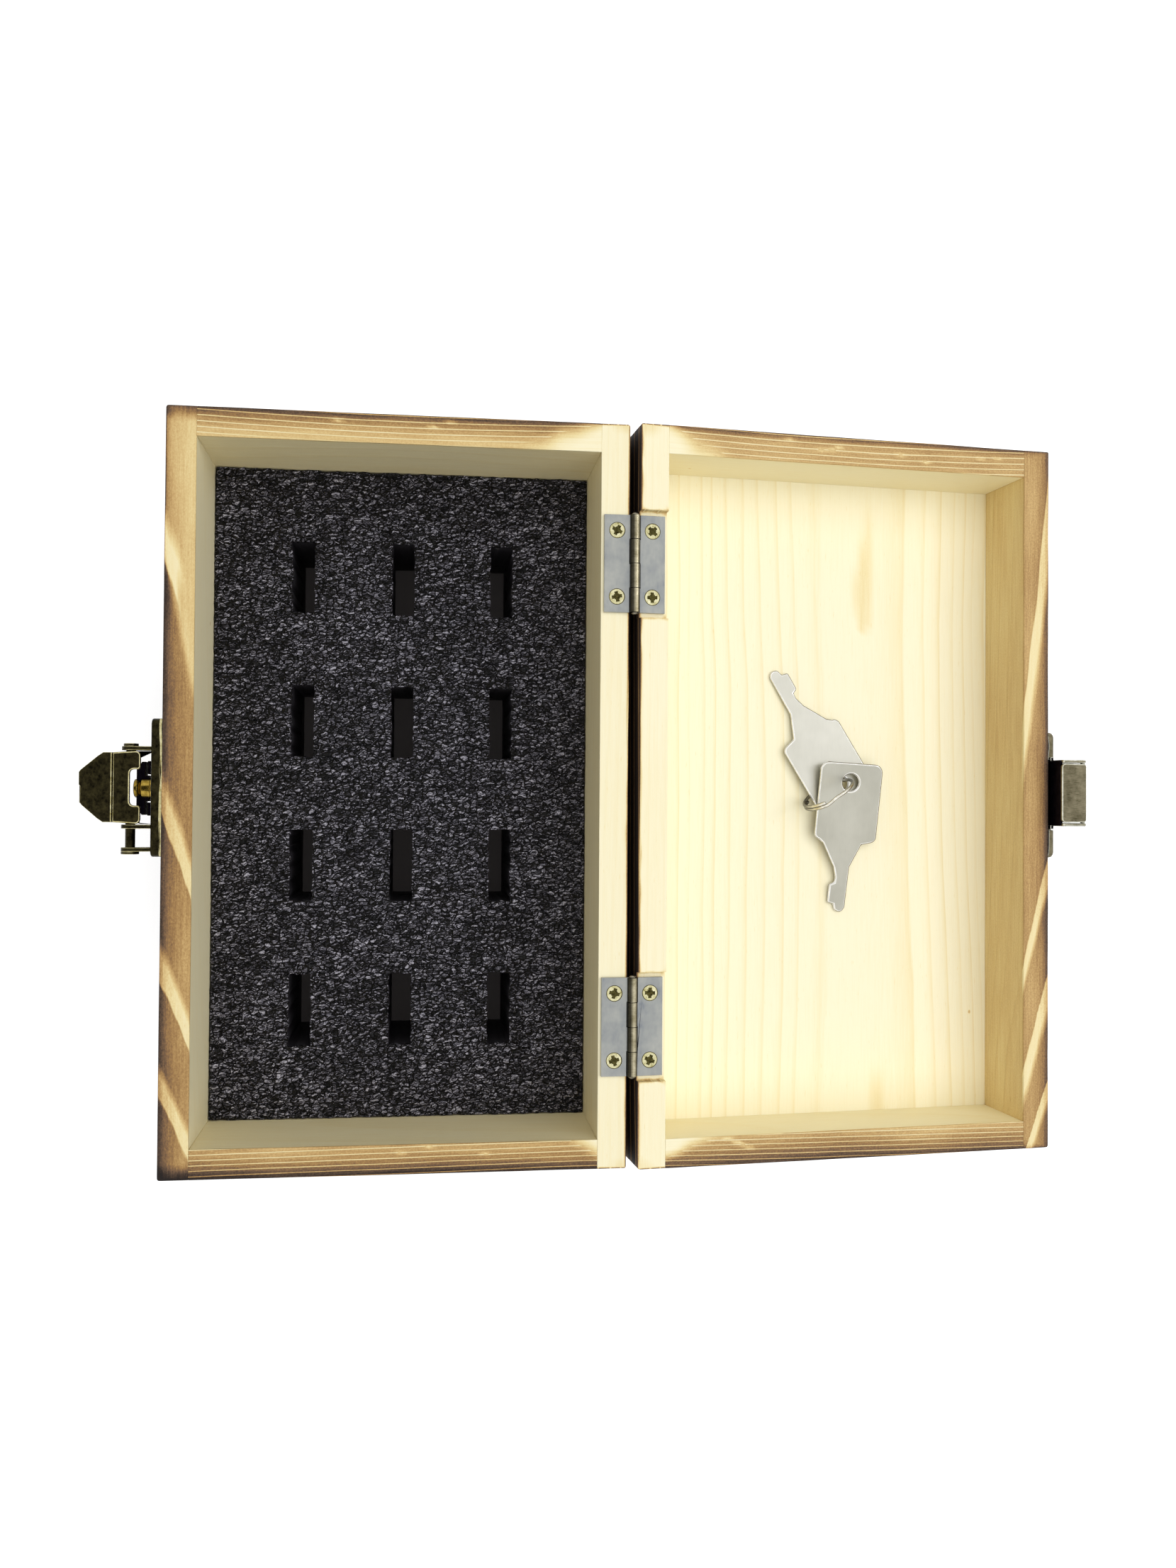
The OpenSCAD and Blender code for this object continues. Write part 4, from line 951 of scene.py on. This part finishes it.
leaf_x = [side * HINGE_PLACE + end * LEAF_SCREW_STEP / 2 for side in (-1, 1) for end in (-1, 1)]
screws("screws_in_base_leaves", "hinge_base_screws",
       [(x, AXIS_Y - LEAF_SCREW_OUT, BASE_HEIGHT + LEAF_THICK) for x in leaf_x],
       0, IN_BASE, HINGE_SCREW, 4, "brass_screw", BRASS, SCREW_RECESS_SHADE)
screws("screws_in_lid_leaves", "hinge_lid_screws",
       [(x, LEAF_SCREW_OUT - HINGE_OUT, LEAF_THICK - 2 * HINGE_UP) for x in leaf_x],
       0, IN_LID, HINGE_SCREW, 9, "brass_screw", BRASS, SCREW_RECESS_SHADE)
screws("screws_in_latch_plate", "latch_screws",
       [(LATCH_X + side * (PLATE_WIDE / 2 - PLATE_SCREW_INSET), FRONT - PLATE_RISE,
         BASE_HEIGHT - PLATE_DROP - PLATE_SCREW_INSET - row * (PLATE_TALL - 2 * PLATE_SCREW_INSET))
        for side in (-1, 1) for row in (0, 1)],
       1, IN_BASE, LATCH_SCREW, 6, "antique_bronze", BRONZE_EDGE, BRONZE)
screws("screws_in_catch_plate", "catch_screws",
       [(LATCH_X + side * (CATCH_WIDE / 2 - PLATE_SCREW_INSET), DEPTH + CATCH_RISE, -1 - CATCH_TALL / 2)
        for side in (-1, 1)],
       -1, IN_LID, CATCH_SCREW, 3, "antique_pewter", PEWTER_EDGE, PEWTER)


# Hinges, latch, catch and keys

def leaf(node, name, body):
    """A hinge leaf, whose rolled knuckles take their own, warmer finish with a painted highlight."""
    piece = eased(node, name, ZINC, ZINC_EDGE, 0.16)
    piece.data.materials.append(KNUCKLE)
    for polygon in piece.data.polygons:
        off_axis = math.hypot(polygon.center[1] - AXIS_Y * MM, polygon.center[2] - AXIS_Z * MM)
        if off_axis < KNUCKLE_REACH * MM:
            polygon.material_index = 2
    settle(piece, body, "zinc_plate", node)


for letter in "ab":
    leaf(f"hinge_{letter}_base_leaf", f"leaf_{letter}_on_base", "base")
    leaf(f"hinge_{letter}_lid_leaf", f"leaf_{letter}_in_lid", "lid")
    pin = eased(f"hinge_{letter}_pin", f"pin_of_hinge_{letter}", PIN, PIN, 0.08)
    settle(pin, "base", "pin_steel", f"hinge_{letter}_pin")
for node, name, skin, edge, width, body, slot, how in (
        ("latch_pivot_rivets", "rivets_of_latch", BRONZE, BRONZE_EDGE, 0.14, "base", "antique_bronze", {}),
        ("latch_hook_pin", "pin_of_hook", BRONZE, BRONZE_EDGE, 0.15, "lever", "antique_bronze", {}),
        ("draw_hook", "hook_of_latch", BRONZE, BRONZE_EDGE, 0.2, "hook", "antique_bronze", {}),
        ("lock_collar", "collar_of_lock", LOCK, LOCK, 0.25, "base", "lock_brass", {}),
        ("latch_lever", "lever_of_latch", BRONZE, BRONZE_EDGE, 0.36, "lever", "antique_bronze",
         {"crease": 0.35, "far": 13.4, "clamp": False}),
        ("key_a", "key_flat_a", NICKEL_PAINTED_LIGHTER, NICKEL_EDGE_HIGHLIGHT, 0.46, "first_key", "nickel_key", {"clamp": False}),
        ("key_b", "key_flat_b", NICKEL, NICKEL_EDGE_HIGHLIGHT, 0.46, "second_key", "nickel_key", {"clamp": False})):
    settle(eased(node, name, skin, edge, width, **how), body, slot, node)

# Frames of the two sheet-metal pieces: x along the case, y outwards, z up from the rim.
AT_LATCH = Matrix.Translation((LATCH_X, FRONT, BASE_HEIGHT)) @ Matrix.Diagonal((1, -1, 1, 1))
AT_CATCH = IN_LID @ Matrix.Translation((LATCH_X, DEPTH, 0))


def arc(x, y, radius, start, steps=6):
    """Points on a quarter circle from an angle in degrees."""
    angles = np.radians(np.linspace(start, start + 90, steps + 1))
    return [(x + radius * math.cos(a), y + radius * math.sin(a)) for a in angles]


def box(out_low, out_high, up_low, up_high):
    """A rectangle as an outline of (out, up)."""
    return [(out_low, up_low), (out_high, up_low), (out_high, up_high), (out_low, up_high)]


def pulled(outline, by):
    """A closed shell: a flat outline's points, pulled along a vector."""
    shell = bmesh.new()
    face = shell.faces.new([shell.verts.new(point) for point in outline])
    top = bmesh.ops.extrude_face_region(shell, geom=[face])["geom"]
    bmesh.ops.translate(shell, vec=by, verts=[v for v in top if isinstance(v, bmesh.types.BMVert)])
    return shell


def sheet_piece(name, shell, place, skin, edge, width, opening=None):
    """Makes a piece of a shell in millimetres, with an opening cut and its edges rounded."""
    bmesh.ops.transform(shell, matrix=Matrix.Scale(MM, 4) @ place, verts=shell.verts)
    bmesh.ops.recalc_face_normals(shell, faces=shell.faces)
    mesh = bpy.data.meshes.new(name)
    shell.to_mesh(mesh)
    shell.free()
    piece = in_scene(name, mesh, (skin, edge))
    if opening:
        cutter = slab(name + "_opening", *opening, place, skin, edge, 0.0)
        cut = piece.modifiers.new("opening", "BOOLEAN")
        with_set(cut, operation="DIFFERENCE", solver="EXACT", object=cutter)
        finished(piece)
        bpy.data.objects.remove(cutter)
    if width:
        ease_edges(piece, width, limit_method="ANGLE", angle_limit=math.radians(42))
    return flat_faced(piece)


def slab(name, profile, from_x, to_x, place, skin, edge, width):
    """A piece whose outline is given as (out, up) and which is thick along x."""
    shell = pulled([(from_x, out, up) for out, up in profile], (to_x - from_x, 0, 0))
    return sheet_piece(name, shell, place, skin, edge, width)


def pressed_tray(name, width, low, high, rise, bend, stand, place, skin, edge, seed, opening):
    """A shallow tray pressed from sheet, open towards the wood. Its sheared edge is wavy, and
    along the top it stands off the wood."""
    half_x, half_z, middle = width / 2, (high - low) / 2, (high + low) / 2
    # Rows from the face round to the inside, as (in from the side, out from the wood).
    rows = [(bend * (1 - math.cos(a)), rise - bend * (1 - math.sin(a))) for a in np.radians([90, 60, 30, 0])]
    rows += [(0.0, None), (SHEET, None), (SHEET, rise - SHEET - 0.3), (SHEET + 0.3, rise - SHEET)]
    shell, rings = bmesh.new(), []
    for inset, out in rows:
        w, h, corner = half_x - inset, half_z - inset, max(1.6 - inset, 0.3)
        loop = []
        # Each corner, then the straight run to the next one.
        for start, x, z, ahead in (
                (0, w - corner, h - corner, (corner - w, h)),
                (90, corner - w, h - corner, (-w, corner - h)),
                (180, corner - w, corner - h, (w - corner, -h)),
                (270, w - corner, corner - h, (w, h - corner))):
            quarter = arc(x, z, corner, start)
            count = round(width if start in (0, 180) else high - low)
            reach = np.array(ahead) - quarter[-1]
            loop += quarter + [tuple(quarter[-1] + reach * k / count) for k in range(1, count)]
        ring = []
        for x, z in loop:
            wave = 0.6 * (wander(np.array([[x * half_x / w, 0, 0]]), (4.5, 1, 1), seed)[0] - 0.5)
            edge_out = 0.02 + (stand + wave) * float(smoothstep(h - 2.0, h - 0.6, np.array(z)))
            ring.append(shell.verts.new((x, edge_out if out is None else out, z + middle)))
        rings.append(ring)
    shell.faces.new(rings[0])
    shell.faces.new(rings[-1][::-1])
    for corners in walls(rings):
        shell.faces.new(corners)
    return sheet_piece(name, shell, place, skin, edge, 0.32, opening)


def joined(first, *others):
    """The first piece with the others' meshes and finishes added to it."""
    shell = bmesh.new()
    finishes = list(first.data.materials)
    for piece in (first, *others):
        for polygon in piece.data.polygons:
            finish = piece.data.materials[polygon.material_index]
            if finish not in finishes:
                finishes.append(finish)
                first.data.materials.append(finish)
            polygon.material_index = finishes.index(finish)
        shell.from_mesh(piece.data)
    for piece in others:
        bpy.data.objects.remove(piece)
    shell.to_mesh(first.data)
    shell.free()
    return first


def latch_plate():
    """The latch's pressed plate with its window, three ears and a cheek on each side of the lock."""
    tray = pressed_tray("plate_of_latch", PLATE_WIDE + 0.6, -PLATE_DROP - PLATE_TALL, -PLATE_DROP,
                        PLATE_RISE + 0.3, 0.5, 1.45, AT_LATCH, BRONZE, BRONZE_EDGE, 91,
                        (box(-1, 6, -22.9, -9.4), -5, 5))
    ear = [(2.6, -13.5), (9.1, -11.2)] + arc(9.1, -9, 2.2, -90) + arc(9.1, -9, 2.2, 0) + [(2.6, -8)]
    parts = [slab(f"ear_{i}", ear, x, x + SHEET, AT_LATCH, BRONZE, BRONZE_EDGE, 0.12)
             for i, x in enumerate((-10.3, 9.3, 15.0))]
    # The cut edge of the bent rim: rubbed, and wavy from the press; this thin bright strip also paints the
    # edge's highlight.
    along = np.linspace(-17.1, 17.1, 70)
    wave = 1.0 + 0.2 * np.sin(along / 2.9) + 0.08 * np.sin(along / 1.3 + 1)
    outline = [*zip(along, wave), *zip(along[::-1], wave[::-1] + 0.55)]
    bead = pulled([(x, out, -PLATE_DROP - 0.4) for x, out in outline], (0, 0, 0.5))
    parts.append(sheet_piece("cut_edge", bead, AT_LATCH, BRONZE_EDGE, BRONZE_EDGE, 0.0))
    for side in (-1, 1):
        parts.append(slab(f"cheek_{side}", box(3.2, 8.5, -32, -26), *sorted((side * 3.7, side * 7.2)),
                          AT_LATCH, SHADE, BRONZE, 0.2))
    settle(joined(tray, *parts), "base", "antique_bronze", "latch_backplate")


def catch_plate():
    """The catch: a pressed plate whose middle is bent out into a hood with side flanges."""
    tray = pressed_tray("plate_of_catch", CATCH_WIDE, -1 - CATCH_TALL, -1, CATCH_RISE + 0.3, 0.9, 0.5,
                        AT_CATCH, PEWTER, PEWTER_EDGE, 92, (box(-1, 5, -2.6, 2), -9.6, 9.6))
    hood = AT_CATCH @ Matrix.Translation((-0.5, 0, 0))
    outline = []
    for start, x, out, radius in ((0, 7.1, 7.4, 0.8), (90, -7.1, 7.4, 0.8), (180, -6.9, 1.9, 1.1),
                                  (270, 6.9, 1.9, 1.1)):
        outline += arc(x, out, radius, start)
    ledge = pulled([(x, out, 4.4) for x, out in outline], (0, 0, SHEET))
    parts = [sheet_piece("ledge", ledge, hood, PEWTER, PEWTER_EDGE, 0.3)]
    flange = [(1.2, -2.8), (2.2, -2.8), (5.2, 0.4), (7.8, 3.2), (8.4, 4.2), (8.3, 5.0), (1.5, 5.0),
              (1.2, 3.4), (1.2, -0.8)]
    shoulder = box(0.9, 1.9, -3.4, -0.4)
    for label, profile, from_x, to_x, skin, edge, width in (
            ("lip", box(7.2, 8.2, 3.5, 4.8), -8.3, 8.3, PEWTER, PEWTER_EDGE, 0.4),
            ("flange_-1", flange, -9.0, -8.1, PEWTER, PEWTER_EDGE, 0.3),
            ("flange_1", flange, 8.1, 9.0, PEWTER, PEWTER_EDGE, 0.3),
            # The back and the shoulders take the unrubbed black, which also paints the shade inside the hood.
            ("back", box(0.9, 1.7, -3.4, 4.2), -8.8, 8.8, SHADE, SHADE, 0.1),
            ("shoulder_-1", shoulder, -9.9, -8.7, SHADE, PEWTER_EDGE, 0.2),
            ("shoulder_1", shoulder, 8.7, 9.9, SHADE, PEWTER_EDGE, 0.2)):
        parts.append(slab(label, profile, from_x, to_x, hood, skin, edge, width))
    settle(joined(tray, *parts), "lid", "antique_pewter", "catch_plate")


def lock_plug():
    """The turned plug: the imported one's copy with a longer nose that carries the key slot."""
    shell = bmesh.new()
    rings = [[shell.verts.new((radius * math.cos(a), out, radius * math.sin(a) - LOCK_DOWN))
              for a in np.linspace(0, 2 * math.pi, 48, endpoint=False)]
             for radius, out in ((2.5, 9.4), (2.5, 11.6), (2.2, 11.9))]
    shell.faces.new(rings[0])
    shell.faces.new(rings[-1])
    for corners in walls(rings):
        shell.faces.new(corners)
    slot = box(11.2, 13, -LOCK_DOWN - 0.4, -LOCK_DOWN + 0.4)
    nose = sheet_piece("nose", shell, AT_LATCH, LOCK, LOCK, 0.0, (slot, -3, 3))
    plug = joined(eased("lock_plug", "plug_of_lock", LOCK, LOCK, 0.2), nose)
    settle(plug, "lock", "lock_brass", "lock_plug")


def lock_bar():
    """The locking bar: a thick block on the plug, with a thin arm on each side."""
    half = [(3.4, 7.9), (3.4, 8.85), (7, 8.85), (7, 9.85), (4.9, 11.2)]
    outline = half + [(-x, out) for x, out in half[::-1]]
    shell = pulled([(x, out, -LOCK_DOWN - 1.5) for x, out in outline], (0, 0, 3))
    bar = sheet_piece("bar_of_lock", shell, AT_LATCH, SHADE, BRONZE, 0.15)
    settle(bar, "lock", "antique_bronze", "lock_bar")


latch_plate()
catch_plate()
lock_plug()
lock_bar()


def split_ring():
    """Spring wire wound once and a third round, its second turn lying on the first."""
    lean, turn = math.radians(RING_LEAN), math.radians(RING_TURN)
    height = LID_FLOOR + RING_RADIUS * math.sin(lean) + RING_WIRE / 2 + 0.06
    place = IN_LID @ Matrix.Translation((RING_X, RING_Y, height))
    place = place @ Matrix.Rotation(turn, 4, "Z") @ Matrix.Rotation(lean, 4, "X")
    start = math.radians(180 - RING_OVERLAP / 2)
    sweep = math.radians(360 + RING_OVERLAP)
    steps, around = 150, 14
    points = []
    for i in range(steps + 1):
        share = i / steps
        angle = start + sweep * share
        rise = 0.92 * RING_WIRE * smoothstep(0.70, 0.77, share)
        ray = np.array([math.cos(angle), math.sin(angle), 0.0])
        radius = RING_WIRE / 2 * (0.75 if i in (0, steps) else 1.0)
        for k in range(around):
            a = 2 * math.pi * k / around
            points.append(ray * (RING_RADIUS + radius * math.cos(a)) + [0, 0, rise + radius * math.sin(a)])
    rings = [range(i * around, (i + 1) * around) for i in range(steps + 1)]
    faces = [*walls(rings), rings[0], rings[-1][::-1]]
    piece = new_piece("split_ring_of_wire", points, faces, [WIRE], place, smooth=60)
    face_out(piece)
    settle(piece, "ring", "nickel_wire", "key_ring")


split_ring()


# Floor, light and camera

def ray_kinds(tree, *kinds):
    """1 for rays of these kinds, 0 for others."""
    rays = add(tree, "LightPath", out=None).outputs
    found = rays[kinds[0]]
    for kind in kinds[1:]:
        found = add(tree, "Math", {0: found, 1: rays[kind]}, operation="MAXIMUM")
    return found


def paper_floor():
    """White paper that takes the case's soft shadow and runs into the white background."""
    material = bpy.data.materials.new("floor_white_paper")
    tree = empty_tree(material)
    paper = add(tree, "BsdfDiffuse", {"Color": tone("#EDEDED")})
    glow = add(tree, "Emission", {"Color": (1, 1, 1, 1), "Strength": 0.6})
    lit = add(tree, "AddShader", {0: paper, 1: glow})
    # Past the case's shadow the paper runs into the white background.
    place = add(tree, "TexCoord", out="Object")
    away = add(tree, "VectorMath", {0: place}, operation="LENGTH", out="Value")
    far = add(tree, "MapRange", {
        "Value": away, "From Min": 0.3, "From Max": 0.9}, interpolation_type="SMOOTHSTEP")
    white = add(tree, "Emission", {"Color": (1, 1, 1, 1), "Strength": 1.0})
    shown = add(tree, "MixShader", {0: far, 1: lit, 2: white})
    seen = ray_kinds(tree, "Is Camera Ray", "Is Glossy Ray")
    both = add(tree, "MixShader", {0: seen, 1: paper, 2: shown})
    add(tree, "OutputMaterial", {"Surface": both}, out=None)
    half, drop = 4000, -0.3
    corners = [(x * half, y * half, drop) for x, y in ((-1, -1), (1, -1), (1, 1), (-1, 1))]
    in_scene("floor", raw_mesh("floor", corners, [(0, 1, 2, 3)]), [material])


def white_world():
    """A white background, which lights the case less than it shows."""
    world = bpy.data.worlds.new("studio")
    bpy.context.scene.world = world
    tree = empty_tree(world)
    seen = ray_kinds(tree, "Is Camera Ray", "Is Glossy Ray", "Is Transmission Ray")
    strength = add(tree, "MapRange", {"Value": seen, "To Min": 0.42, "To Max": 1.0})
    back = add(tree, "Background", {"Color": (1, 1, 1, 1), "Strength": strength})
    add(tree, "OutputWorld", {"Surface": back}, out=None)


def lamps():
    """The wide softbox lights the case; only the small one is mirrored in the metal."""
    for name, spot, size, power, mirrored in (
            ("softbox_over_table", (-0.1, 0.45, 1.5), 2.2, 19.6, False),
            ("softbox_small", (-0.3, 1.25, 1.2), 0.3, 1.3, True)):
        lamp = with_set(bpy.data.lights.new(name, "AREA"), shape="DISK", size=size, energy=power)
        turned = Vector(spot).to_track_quat("Z", "Y").to_euler()
        with_set(in_scene(name, lamp), location=spot, rotation_euler=turned, visible_camera=False,
                 visible_glossy=mirrored)


def camera():
    """The photograph's camera, solved from the corners and edges of the case."""
    lens_pixels, image_tall, sensor = 1862.12, 2212, 36.0
    turn = Matrix.Rotation(0.0089, 3, "Z") @ Matrix.Rotation(0.1256, 3, "Y") @ Matrix.Rotation(0.017, 3, "X")
    right, down, back = (Vector((row[1], row[0], row[2])) for row in turn)
    data = with_set(bpy.data.cameras.new("camera"), sensor_width=sensor,
                    lens=lens_pixels * sensor / image_tall, clip_start=0.02)
    holder = in_scene("camera", data)
    pose = Matrix((right, -down, back)).transposed().to_4x4()
    pose.translation = Vector((3.0423, 5.3016, 410.165)) * MM
    holder.matrix_world = pose
    bpy.context.scene.camera = holder


paper_floor()
white_world()
lamps()
camera()
bpy.context.scene.view_settings.view_transform = "Standard"
